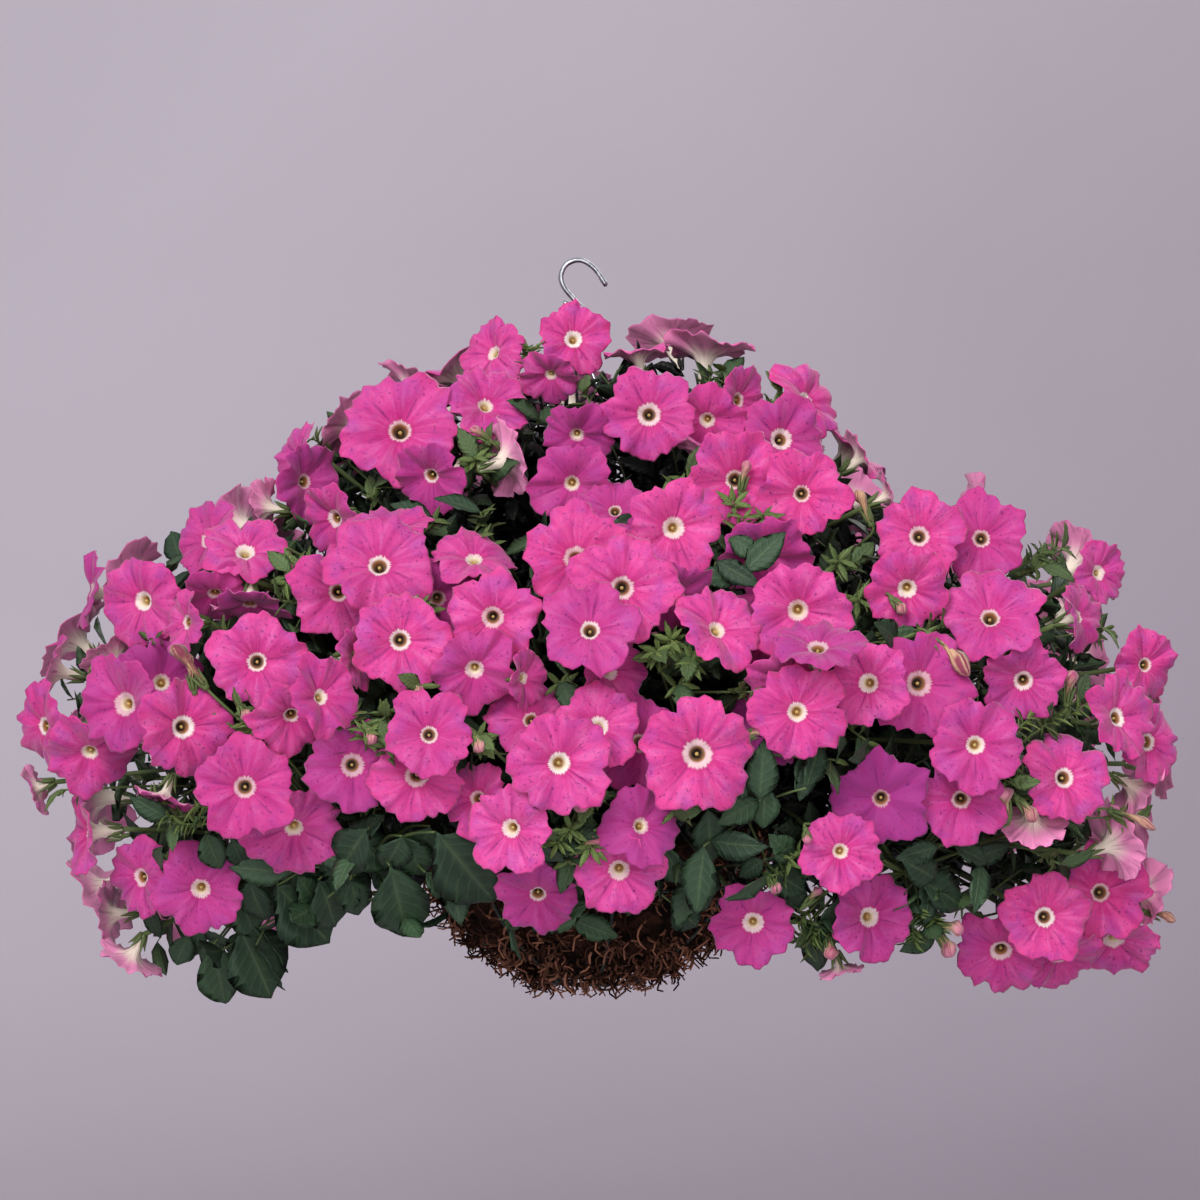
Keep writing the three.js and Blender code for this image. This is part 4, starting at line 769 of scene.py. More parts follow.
# all shapes from here on are in parts of the bloom's radius. Down the throat, out over the limb to
# its edge, back under it, and down the outside of the tube: reach and height where it is round, and
# how far out on the limb where it is lobed
THROAT_PATH = np.array([[0.05, -0.50], [0.085, -0.42], [0.105, -0.33], [0.135, -0.255]])
LIMB_SHARES = {
    True: [0.07, 0.17, 0.3, 0.45, 0.6, 0.74, 0.86, 0.95, 1.0], False: [0.15, 0.4, 0.65, 0.87, 1.0],
}
UNDER_SHARES = {True: [0.985, 0.8, 0.48, 0.16], False: [0.97, 0.6, 0.2]}
TUBE_PATH = np.array([[0.17, -0.36], [0.14, -0.5], [0.105, -0.76], [0.085, -0.95]])
CORE_ENDS = (-0.52, -0.97)
BLOOM_COLUMNS = {True: 64, False: 34}
SHEET = 0.022
LIMB_FOOT = {"reach": 0.14, "height": -0.25}
# the limb's edge: how far out its notches and lobes are and how much lobes differ, and waves on
# it, as how many go round and how high each is
EDGE = {"notch": 0.82, "lobe": 0.225, "stray": 0.2, "point": 0.1, "torn": 0.035}
EDGE_FRILLS = [(11, 0.03), (17, 0.026), (24, 0.02)]
# its rise and fall: waves, the sag of two sides and of each lobe, one fold, and pinched creases
RUFFLES = [(7, 0.05), (12, 0.045), (19, 0.03)]
SAG = {"sides": 0.06, "lobes": 0.24}
FOLDS = (-1.0, 0.5)
PINCH = {"depth": 0.08, "width": 0.13}
# what a skin's third own-place number tells its finish
INSIDE, OUTSIDE, KNOB, BUD = 0, 1, 2, 3


def waves(angle, starts, heights):
    """A sum of sines round the bloom, each with its own count, height and start."""
    return sum(height * np.sin(count * angle + start) for (count, height), start in zip(heights, starts))


def corollas(blooms, front):
    """Each bloom's skin in parts of its radius. The limb's reach is a fifth-turn cosine's root over
    an angle that wanders, so that five lobes of unequal width and length end in a point or a
    notch. Its height rises fast from the throat and flattens to the edge, one side folds back or
    forward, and waves of several lengths frill both."""
    seed = np.array([bloom["seed"] for bloom in blooms])[:, None, None]
    start = [TURN * chance(seed, 50 + k) for k in range(10)]
    column = np.arange(BLOOM_COLUMNS[front])
    angle = (-TURN * column / BLOOM_COLUMNS[front])[None, None]
    wandering = angle + 0.1 * np.sin(angle + start[0]) + 0.06 * np.sin(2 * angle + start[1])
    lobe = np.abs(np.cos(LOBES / 2 * wandering))
    which = np.round(wandering / TURN * LOBES) % LOBES
    own = [chance(seed * LOBES + which, 63 + k) - 0.5 for k in range(2)]
    torn = EDGE["torn"] * (chance(seed * 7 + column, 69) - 0.5)
    edge = (EDGE["notch"] + EDGE["lobe"] * lobe ** 0.6 + EDGE["stray"] * own[0] * lobe ** 2
            + EDGE["point"] * (own[1] + 0.15) * lobe ** 12 + waves(angle, start[2:5], EDGE_FRILLS) + torn)
    folded = np.clip(np.cos(angle - start[5]) - 0.2, 0, 1) ** 2 * mixed(*FOLDS, chance(seed, 67))
    notch = np.floor(wandering / TURN * LOBES) % LOBES
    pinch = PINCH["depth"] * chance(seed * LOBES + notch, 68) ** 2
    pinch = pinch * np.exp(-(np.sin(LOBES / 2 * wandering) / PINCH["width"]) ** 2)
    ruffle = waves(angle, start[6:9], RUFFLES)
    sag = SAG["sides"] * np.sin(2 * angle + start[9]) + SAG["lobes"] * own[1] * lobe ** 2 + folded
    rim_height = -0.015 - 0.045 * np.cos(LOBES * angle)

    def limb(shares, sunk):
        """Reach and height from the limb's foot to its edge, sunk by the sheet's thickness below."""
        share = np.asarray(shares)[None, :, None]
        reach = LIMB_FOOT["reach"] + (edge - LIMB_FOOT["reach"]) * share
        height = mixed(LIMB_FOOT["height"], rim_height, 1 - (1 - share) ** 2.4)
        crease = -pinch * np.sin(np.pi * share ** 0.8)
        height = height + ruffle * share ** 3 + sag * share ** 1.5 + crease - 0.05 * share ** 6
        return reach, height - sunk * (1 + 0.6 * (1 - share))

    def round_rows(path):
        """The same reach and height all round."""
        ones = np.ones((len(blooms), 1, len(column)))
        return path[None, :, :1] * ones, path[None, :, 1:] * ones

    sections = [
        (*round_rows(THROAT_PATH), INSIDE), (*limb(LIMB_SHARES[front], 0), INSIDE),
        (*limb(UNDER_SHARES[front], SHEET), OUTSIDE), (*round_rows(TUBE_PATH), OUTSIDE),
    ]
    reach = np.concatenate([section[0] for section in sections], axis=1)
    height = np.concatenate([section[1] for section in sections], axis=1)
    layer = np.concatenate([np.full_like(section[0], section[2]) for section in sections], axis=1)
    return reach, height, layer, angle


def of_blooms(blooms, *keys):
    """One array of all the blooms for each of the keys, with room for rows and columns."""
    return [np.array([bloom[key] for bloom in blooms])[:, None, None] for key in keys]


def placed_blooms(blooms, ends, reach, height, layer, angle):
    """A bloom's own reach, angle and height as places: along its two sides and its facing direction,
    with its flat place and its layer as one mark, and its tint as another."""
    centre, normal, side, over = of_blooms(blooms, "centre", "normal", "side", "over")
    radius = of_blooms(blooms, "radius")[0][..., None]
    across, up = reach * np.cos(angle), reach * np.sin(angle)
    place = centre + radius * (
        across[..., None] * side + up[..., None] * over + height[..., None] * normal)
    tint = np.array([[bloom["light"], bloom["shade"], bloom["eye"]] for bloom in blooms])
    tints = np.broadcast_to(tint[:, None, None], (*across.shape, 3))
    rings = np.concatenate([place, np.stack([across, up, layer], axis=-1), tints], axis=-1)
    tips = []
    for row, end in zip((0, -1), ends):
        point = (centre + radius * end * normal)[:, 0, 0]
        flat = np.stack([0 * layer[:, row, 0], 0 * layer[:, row, 0], layer[:, row, 0]], axis=-1)
        tips.append(np.hstack([point, flat, tint]))
    return closed_skins(rings, *tips)


PISTIL_PATH = np.array([[0.015, -0.42], [0.024, -0.36], [0.038, -0.31], [0.024, -0.275]])
PISTIL_ENDS = (-0.5, -0.25)
PISTIL_COLUMNS = 6


def pistils(blooms):
    """The pale green knob in each throat: a small round skin on the bloom's own axis."""
    angle = (TURN * np.arange(PISTIL_COLUMNS) / PISTIL_COLUMNS)[None, None]
    ones = np.ones((len(blooms), 1, PISTIL_COLUMNS))
    reach, height = PISTIL_PATH[None, :, :1] * ones, PISTIL_PATH[None, :, 1:] * ones
    return placed_blooms(blooms, PISTIL_ENDS, reach, height, KNOB + 0 * reach, angle)


def give_tint(bloom):
    """A bloom's own lightness, how dull it is with age and with depth as painted shade, and how white its
    eye is, with 1 more where the throat is pale down to its bottom."""
    seed = bloom["seed"]
    shade = PURPLE_BLOOMS.get(bloom["pixel"], bloom["shade"])
    bloom["light"] = float(chance(seed, 60))
    bloom["shade"] = min(1.0, shade * 0.5 + 0.5 * float(chance(seed, 61)) ** 3)
    bloom["eye"] = 1.0 - 0.35 * float(chance(seed, 62)) - 0.3 * bloom["shade"]
    if bloom["pixel"] in PALE_THROATS or chance(seed, 64) < 0.2:
        bloom["eye"] += 1.0


CLOUDS_A_METRE = 60
GRAINS_A_METRE = 205
FLECKS_A_METRE = 380
# how far round and out one streak goes, and how far apart the streaks of two blooms are drawn
STREAKS = {"round": 4.2, "out": 1.3, "apart": 41}
petal, shader, place = new_finish("petal", Roughness=0.62, Specular_IOR_Level=0.25, Sheen_Weight=0.25)
across, up, layer = place.mark("own_place")
light, shaded, eye = place.mark("tint")
reach = (across * across + up * up + 0.000001) ** 0.5
angle = up.maths("ARCTAN2", across)
pale_throat = eye.between(1.05, 1.3)
cloud = place.noise(CLOUDS_A_METRE, 2)
lobes = (angle * LOBES).maths("COSINE") * 0.5 + 0.5
spoke = place.node("CombineXYZ", None, {
    "X": across.maths("DIVIDE", reach) * STREAKS["round"],
    "Y": up.maths("DIVIDE", reach) * STREAKS["round"],
    "Z": reach * STREAKS["out"] + light * STREAKS["apart"],
})
streaks = spoke.noise(1.0, 3, 0.6)
veins = streaks.between(0.5, 0.68) * reach.between(0.14, 0.3)
pale_rays = (1 - streaks).between(0.5, 0.66) * reach.between(0.2, 0.4)
# darker lines along the middle of each lobe, from the eye out to mid-limb
lobe_midlines = lobes ** 60 * streaks.between(0.4, 0.56) * reach.between(0.15, 0.3)
lobe_midlines = lobe_midlines * (1 - reach.between(0.5, 0.9))
flecks = place.noise(FLECKS_A_METRE, 2, 0.6).between(0.62, 0.68) * reach.between(0.2, 0.5)
grain = place.noise(GRAINS_A_METRE, 3, 0.65)
mottles = grain.between(0.5, 0.64) * reach.between(0.25, 0.5)
clouds = cloud.between(0.3, 0.7) * 0.45 + grain.between(0.35, 0.65) * 0.25
lit = reach.between(0.25, 1.0) * 0.2 + clouds + light * 0.25
lit = lit.blend(colour(206, 30, 128), colour(242, 94, 176))
warmed = ((light * 13).maths("FRACT") * 0.4).blend(lit, colour(232, 52, 132))
rayed = (pale_rays * 0.3).blend(warmed, colour(248, 140, 206))
bloomy = (1 - cloud).between(0.46, 0.68) * 0.55 * reach.between(0.3, 0.8)
bloomy = bloomy.blend(rayed, colour(198, 92, 184))
mottled = (mottles * 0.34).blend(bloomy, colour(170, 44, 146))
rimmed = (reach.between(0.84, 1.02) * 0.4).blend(mottled, colour(240, 60, 142))
# painted shade mixed with age: blooms deep in the crown, and old ones, turn dull purple
dull = shaded.blend(rimmed, colour(168, 50, 136))
veined = (veins * 0.42).blend(dull, colour(176, 26, 120))
creased = (lobe_midlines * 0.6 + flecks * 0.6).blend(veined, colour(124, 24, 104))
teeth = (spoke.noise(2.2, 1) - 0.5) * 0.11
star = (reach - teeth) * (1.12 - (light * 7).maths("FRACT") * 0.3)
ringed = ((1 - star.between(0.2, 0.3)) * 0.5).blend(creased, colour(190, 28, 118))
whitened = ((1 - star.between(0.18, 0.23)) * (eye - pale_throat)).blend(ringed, colour(254, 244, 236))
# the throat's own cream and brown, painted darker as shade inside the tube: a brown wall in the throats
# that are not pale, and a darker bottom in all
walled = pale_throat.blend(colour(168, 112, 62), colour(248, 236, 206))
throat = (1 - reach.between(0.12, 0.165)).blend(whitened, walled)
bottom = pale_throat.blend(colour(86, 54, 26), colour(206, 160, 100))
deep = (1 - reach.between(0.07, 0.13)).blend(throat, bottom)
# the outside's own cream and pink, painted paler still as painted light that comes through the petal and up
# from below
outside = reach.between(0.12, 0.6).blend(colour(255, 244, 222), colour(255, 156, 206))
outside = (veins * 0.45 + lobe_midlines * 0.3).blend(outside, colour(140, 36, 96))
faced = layer.between(0.4, 0.6).blend(deep, outside)
knobbed = layer.between(1.4, 1.6).blend(faced, colour(236, 206, 112))
tipped = reach.between(0.25, 0.6).blend(colour(206, 200, 132), colour(236, 146, 176))
striped = streaks.between(0.44, 0.58)
withered = striped.blend(colour(216, 176, 132), colour(126, 50, 62))
budded = shaded.blend((striped * 0.7).blend(tipped, colour(190, 60, 120)), withered)
layer.between(2.4, 2.6).blend(knobbed, budded).wear(shader, "Base Color")
(streaks * -0.9).bump(shader, 0.8)

for spray in sprays:
    for bloom in spray["blooms"]:
        give_tint(bloom)
    skins = [
        placed_blooms(spray["blooms"], CORE_ENDS, *corollas(spray["blooms"], spray["front"])),
        pistils(spray["blooms"]),
    ]
    node = "blooms_" + spray["name"]
    add_piece("petals_" + spray["name"], skins, petal, [node], ["own_place", "tint"])

# Stems: a green stem from the soil to each spray, its swollen end where the stalks leave it, and a
# hairy stalk to each bloom that ends in a calyx of five narrow sepals round the tube.
SOIL_TOP_Z = -406
HOLE_DEPTH = 34
KNEE_RISE = 14
STEM_RADIUS = 2.6
STALK_RADIUS = 1.2
RIM_CLEAR_Z = RIM_Z + 18
RIM_BERTH = 40
FOOT_REACH = {"least": 26, "most": 112, "part": 0.55}
STEM_ARCH = {"middle": 12, "end": 8}
SWAYS = [0, 0.012, -0.012, 0.024, -0.024, 0.04, -0.04, 0.06, -0.06, 0.08, -0.08]
HUB_REACH = 0.56
HUB_HEIGHT = 30
HUB_STALKS = (-0.36, 0.42)
BYPASSES = [12, 24, 38, 54]
TUBE_END = -0.95
NECK = -0.46
TUBE_BEND = 0.7
# how near to the stalk's own radius a corner of its solid has to be, and how many of them tell
CORNER_OFF = 0.3
CORNERS_TELL = 2
TRAILING_STEMS = {
    "trailing_left": [366, 868, 34], "trailing_front": [590, 872, 40], "trailing_right": [905, 872, 46],
}
STEM_STEPS = 7
STALK_STEPS = 5
# half widths: of a stem from foot to tip, of its swollen end row by row, and of a stalk
STEM_TAPER = 0.8
HUB_GIRTHS = np.array([1.9, 3.0, 3.4, 3.2, 2.9, 2.5, 1.6])
STALK_GIRTHS = (2.1, 1.2)
# where in the crown a leaf gets no sun, and from where on it gets all of it
INNER_LEVEL = 0.64
OUTER_LEVEL = 0.94
SEPAL_LENGTH = 12
SEPAL_WIDTH = 1.7
SEPAL_SHAPE = np.array([0.7, 1.0, 0.85, 0.5, 0.12])
SEPAL_FOOT = {"out": 2.2, "back": 1.5, "height": TUBE_END + 0.04}
SEPAL_FLARE = 5.0
STEM_MARK = [0.0, 0.0, 1.0]
LEAF_CLOUDS_A_METRE = 90
LEAF_GRAINS_A_METRE = 900
# side veins: waves along a leaf, in radians, and how far they lean towards its tip
SIDE_VEINS = {"along": 44, "lean": 9}


def stem_points(tip, sway):
    """Straight up out of its hole, over the rim or up through the crown, and on to its tip."""
    flat = np.array([tip[0] - BASKET_X, tip[1]])
    reach = np.linalg.norm(flat)
    turn = np.arctan2(flat[1], flat[0]) / TURN + sway
    foot_radius = np.clip(reach * FOOT_REACH["part"], FOOT_REACH["least"], FOOT_REACH["most"])
    foot = round_basket(turn, foot_radius, SOIL_TOP_Z - HOLE_DEPTH + GAP)
    knee = round_basket(turn, foot_radius, SOIL_TOP_Z + KNEE_RISE)
    if tip[2] < RIM_CLEAR_Z + RIM_BERTH and reach > BASKET_RADIUS * 0.8:
        bend = round_basket(turn, min(reach * 0.8, BASKET_RADIUS + RIM_WIRE), RIM_CLEAR_Z)
    else:
        bend = mixed(knee, tip, 0.5) + [0, 0, STEM_ARCH["middle"]]
    return np.array([foot, knee, bend, mixed(bend, tip, 0.55) + [0, 0, STEM_ARCH["end"]], tip])


def bypasses(direction):
    """Ways past an obstacle: straight on, then wider and wider at six turns round the direction."""
    side, over = square_to(direction)
    angle = TURN * np.arange(6)[:, None] / 6
    around = side[..., None, :] * np.cos(angle) + over[..., None, :] * np.sin(angle)
    rings = [size * around for size in BYPASSES]
    return np.concatenate([0 * around[..., :1, :], *rings], axis=-2)


def stalk_line(bloom, end, corners):
    """The stalk's points from behind the tube to the stem, with the way past that its CAD solid has:
    the one round which the node has corners at the stalk's own radius."""
    start, tube_end = (
        bloom["centre"] + bloom["normal"] * part * bloom["radius"] for part in (NECK, TUBE_END))
    last = tube_end if -unit(end - start) @ bloom["normal"] < TUBE_BEND else start
    middles = mixed(last, end, 0.5) + bypasses(unit(end - bloom["centre"]))
    off = np.abs(np.linalg.norm(middles[:, None] - corners, axis=-1) - STALK_RADIUS)
    found = (off < CORNER_OFF).sum(axis=1)
    found[0] = 0
    best = int(found.argmax())
    middle = middles[best] if found[best] >= CORNERS_TELL else mixed(tube_end, end, 0.5)
    return smooth_line([tube_end, middle, end], STALK_STEPS)


def sepals(blooms):
    """Five narrow tapered blades round the end of each tube, that stand off it as they go forward."""
    angle = TURN * (np.arange(5) / 5)[None, :, None, None]
    centre, normal, side, over = of_blooms(blooms, "centre", "normal", "side", "over")
    radius = of_blooms(blooms, "radius")[0][..., None]
    along = np.linspace(0, 1, len(SEPAL_SHAPE))[:, None]
    out = np.cos(angle) * side + np.sin(angle) * over
    spread = SEPAL_FOOT["out"] + SEPAL_FLARE * along ** 1.6
    forward = SEPAL_LENGTH * along - SEPAL_FOOT["back"]
    paths = centre + radius * SEPAL_FOOT["height"] * normal + spread * out + forward * normal
    return rod_rings(paths.reshape(-1, len(SEPAL_SHAPE), 3), SEPAL_WIDTH * SEPAL_SHAPE, 4)


def green_rods(paths, thick, thin, sides, light, young):
    """Rods of one green along the paths, tapered evenly from root to tip."""
    paths = np.reshape(paths, (-1, *np.shape(paths)[-2:]))
    taper = np.linspace(thick, thin, paths.shape[1])
    return marked(round_rods(paths, taper, sides), *STEM_MARK, light, young, 0.0)


def crown_level(place):
    """How far out a place is: 0 on the crown's middle line and 1 on its superellipse outline."""
    middle, half, depth = crown_at(place[..., 2])
    out, deep = np.abs(place[..., 0] - middle) / half, np.abs(place[..., 1]) / depth
    return (out ** CROWN_ROUNDNESS + deep ** CROWN_ROUNDNESS) ** (1 / CROWN_ROUNDNESS)


def with_painted_crown_shade(skins):
    """The skins with their last mark worked out: 1 where leaves get the sun, and 0 deep inside, where the
    leaf finish paints shade.
    """
    for points, _, _ in skins:
        outward = (crown_level(points[:, :3]) - INNER_LEVEL) / (OUTER_LEVEL - INNER_LEVEL)
        points[:, 8] = np.clip(outward, 0, 1)
    return skins


leafy, shader, place = new_finish("leaf", Roughness=0.6, Specular_IOR_Level=0.35)
along, across, layer = place.mark("own_place")
light, young, outer = place.mark("tint")
width = across.maths("ABSOLUTE")
cloud = place.noise(LEAF_CLOUDS_A_METRE, 3)
midrib = (1 - width).maths("MAXIMUM", 0) ** 14
side_veins = (along * SIDE_VEINS["along"] - width * SIDE_VEINS["lean"]).maths("COSINE")
side_veins = (side_veins * 0.5 + 0.5) ** 6 * (1 - midrib)
blade = (cloud * 0.5 + light * 0.6).blend(colour(30, 50, 38), colour(72, 102, 70))
fresh = young.blend(blade, colour(148, 172, 92))
ribbed = (midrib * 0.45 + side_veins * 0.09).blend(fresh, colour(112, 136, 98))
stalky = (cloud * 0.6 + light * 0.3).blend(colour(72, 96, 52), colour(128, 146, 88))
greens = layer.between(0.4, 0.6).blend(ribbed, stalky)
# painted shade: leaves, stems and stalks deep inside the crown are painted near black, blending to full
# green towards its outline
outer.blend(colour(9, 14, 11), greens).wear(shader, "Base Color")
(place.noise(LEAF_GRAINS_A_METRE, 2) * 0.2 + 0.45).wear(shader, "Roughness")
(side_veins * -0.5 - midrib + cloud * 0.4).bump(shader, 0.5)

for spray in sprays:
    middle = np.mean([bloom["centre"] for bloom in spray["blooms"]], axis=0)
    tip = mixed(CROWN_HEART, middle, HUB_REACH)
    if np.hypot(tip[0] - BASKET_X, tip[1]) < BASKET_RADIUS + RIM_BERTH:
        tip[2] = max(tip[2], RIM_CLEAR_Z)
    spray["tip"] = tip
stems = sprays + [
    {"name": name, "blooms": [], "tip": crown_front(*tip)} for name, tip in TRAILING_STEMS.items()]
for spray in stems:
    feet = cad_corners("leafy_stem_" + spray["name"])
    foot = feet[feet[:, 2] < feet[:, 2].min() + 0.05].mean(axis=0)
    ways = [stem_points(spray["tip"], sway) for sway in SWAYS]
    points = min(ways, key=lambda way: np.linalg.norm(way[0][:2] - foot[:2]))
    spray["points"], spray["path"] = points, smooth_line(points, STEM_STEPS)
    spray["green"] = [green_rods(spray["path"], STEM_RADIUS, STEM_RADIUS * STEM_TAPER, 8, 0.4, 0.1)]
    if not spray["blooms"]:
        continue
    direction = unit(points[-1] - points[-2])
    hub = points[-1] + direction * (GAP + HUB_HEIGHT / 2)
    blooms = sorted(spray["blooms"], key=lambda bloom: (bloom["centre"] - hub) @ direction)
    hub_path = hub + direction * HUB_HEIGHT * (np.linspace(0, 1, len(HUB_GIRTHS))[:, None] - 0.5)
    stalks = []
    for rank, bloom in enumerate(blooms):
        end = hub + direction * mixed(*HUB_STALKS, rank / (len(blooms) - 1)) * HUB_HEIGHT
        stalks.append(stalk_line(bloom, end, spray["corners"]))
    spray["stalks"] = np.array(stalks)
    skins = [
        marked(round_rods(hub_path[None], HUB_GIRTHS, 8), *STEM_MARK, 0.5, 0.2, 0.0),
        green_rods(spray["stalks"], *STALK_GIRTHS, 6, 0.5, 0.2),
        marked(closed_skins(*sepals(blooms)), *STEM_MARK, 0.5, 0.2, 0.0),
    ]
    node = "blooms_" + spray["name"]
    add_piece("stalks_" + spray["name"], with_painted_crown_shade(skins), leafy, [node], ["own_place", "tint"])

# Buds: closed and twisted trumpets, each on its own short stalk, and a few withered blooms that
# hang limp and brown. Each is the same thin sheet as an open bloom, still or again rolled up.
BUD_COLUMNS = 10
BUD_TWIST = 0.35
BUD_BOW = 0.08
BUD_RIDGES = 0.16
BUD_CREASES = 0.1
BUD_COLLAR = 0.34
BUD_CALYX = 0.55
# along a bud: how far along, and its half width as a part of the widest
BUD_ROWS = np.array([
    [0, 0.3], [0.1, 0.42], [0.25, 0.4], [0.4, 0.46], [0.55, 0.7], [0.68, 0.95], [0.78, 1.0],
    [0.88, 0.8], [0.96, 0.4],
])
# pixels of the root and tip, half width as a part of the length, how withered, and millimetres
# behind the crown's outline
BUDS = [
    (575, 790, 585, 812, 0.34, 0.1, 4), (414, 590, 417, 610, 0.3, 0.2, 4),
    (412, 683, 422, 697, 0.34, 0.3, 4), (366, 728, 374, 744, 0.34, 0.2, 2),
    (474, 736, 482, 752, 0.34, 0.3, 4), (578, 850, 602, 836, 0.26, 0.2, -2),
    (288, 556, 294, 572, 0.34, 0.2, 2), (240, 706, 249, 720, 0.34, 0.3, 2),
    (204, 685, 171, 645, 0.15, 0.8, -4), (194, 690, 186, 652, 0.13, 0.9, -4),
    (893, 600, 905, 614, 0.3, 0.4, 4), (1067, 702, 1073, 670, 0.2, 0.3, 0),
    (1007, 816, 1001, 788, 0.34, 0.0, -2), (938, 926, 964, 931, 0.28, 0.1, -2),
    (938, 934, 953, 957, 0.3, 0.1, -2), (741, 491, 748, 460, 0.15, 0.2, -2),
    (870, 522, 856, 490, 0.18, 0.9, 2), (930, 636, 970, 676, 0.16, 0.7, -8),
    (1146, 912, 1176, 921, 0.16, 0.8, 4), (1112, 812, 1156, 830, 0.1, 0.7, 2),
    (744, 738, 766, 727, 0.3, 0.0, 2), (770, 880, 779, 893, 0.36, 0.0, 2),
    (806, 832, 808, 844, 0.34, 0.0, 4), (806, 904, 822, 888, 0.2, 0.0, 2),
    (1018, 800, 1036, 822, 0.24, 0.5, 0), (488, 440, 470, 428, 0.2, 0.4, 2),
    (828, 938, 832, 960, 0.34, 0.3, -2),
]


def nearest_stem(place, choices):
    """The stem, and the point on it, that lie nearest to a place."""
    found = [(np.linalg.norm(spray["path"][STEM_STEPS:] - place, axis=1), spray) for spray in choices]
    gaps, spray = min(found, key=lambda pair: pair[0].min())
    return spray, spray["path"][STEM_STEPS:][gaps.argmin()]


def bud_skin(root, tip, girth, light, withered, number):
    """A spindle of rings from root to tip, twisted and bowed up a little, with five ridges that are
    a cosine of the turn."""
    length = np.linalg.norm(tip - root)
    ahead = unit(tip - root)
    along, width = (part[:, None] for part in BUD_ROWS.T)
    turn = np.arange(BUD_COLUMNS) / BUD_COLUMNS
    side, _ = square_to(ahead, turn + BUD_TWIST * along)
    bow = BUD_BOW * length * np.sin(np.pi * along) * np.array([0, 0, 1])
    ridge = 1 + BUD_RIDGES * np.cos(5 * TURN * turn) * width
    ridge = ridge + BUD_CREASES * (chance(number + along, turn) - 0.5)
    rings = (root + along[..., None] * length * ahead + bow[:, None]
             + (girth * length * width * ridge)[..., None] * side)
    streak = [0.1 + 0.6 * along * part ** 2 for part in (np.cos(TURN * turn), np.sin(TURN * turn))]
    marks = np.stack([*streak, *(value + 0 * ridge for value in (BUD, light, withered, 0))], axis=-1)
    ends = [np.concatenate([point, marks[row, 0]])[None] for row, point in ((0, root - ahead), (-1, tip))]
    return closed_skins(np.concatenate([rings, marks], axis=-1)[None], *ends)


def bud_greens(root, tip, girth, joint):
    """A bud's stalk from its stem, its calyx of five sepals, and the collar that they stand on."""
    length = np.linalg.norm(tip - root)
    ahead = unit(tip - root)
    stalk = smooth_line([joint, mixed(joint, root, 0.65) + [0, 0, 6], root - ahead * 6, root + ahead], 5)
    collar = BUD_COLLAR * girth * length
    side, _ = square_to(ahead, np.arange(5) / 5)
    along = np.linspace(0, 1, len(SEPAL_SHAPE))[None, :, None]
    calyx = root + side[:, None] * (collar + 0.8 + 2 * along ** 2)
    calyx = calyx + ahead * along * min(SEPAL_LENGTH, BUD_CALYX * length)
    return [
        green_rods(stalk, 1.2, 1.0, 6, 0.6, 0.2),
        marked(round_rods(calyx, SEPAL_WIDTH * 0.8 * SEPAL_SHAPE, 4), *STEM_MARK, 0.5, 0.4, 0.0),
        green_rods([root - ahead * 3, root - ahead, root + ahead], collar + 1.0, collar + 1.0, 8, 0.5, 0.3),
    ]


front_stems = [spray for spray in stems if not spray["name"].startswith("back")]
bud_skins = []
for number, (root_px, root_py, tip_px, tip_py, girth, withered, behind) in enumerate(BUDS):
    root = crown_front(root_px, root_py, behind + 5)
    tip = in_picture(tip_px, tip_py, root[1] - 5)
    bud_skins.append(bud_skin(root, tip, girth, chance(number, 98), withered, number))
    spray, joint = nearest_stem(root, front_stems)
    spray["green"] += bud_greens(root, tip, girth, joint)
add_piece("buds", bud_skins, petal, [], ["own_place", "tint"])

# Leaves: soft pointed ovals, keeled along the midrib and arched to the tip. Pairs of them end the
# twigs that come out between the blooms, and smaller ones clothe the stems and stalks behind.
TWIG_RADIUS = 1.3
LEAF_WIDTH = 0.52
LEAF_SPACING = 10
LEAF_TRIES = 9
LEAF_SPREAD = (0.12, 0.2)
HANGING_LEAF = 36
HANGING_SPREAD = 0.03
TWIG_STARTS = [0.85, 0.7, 0.55, 0.4, 0.2, 0]
TUFT_RETREATS = [0, 0.08, 0.16, 0.26]
# how far round a tuft's tip the corners of its solid are looked for, and how near to a leaf's end
# one has to be
TUFT_ROOM = 110
LEAF_OFF = 1.0
LEAF_FOUND = 0.9
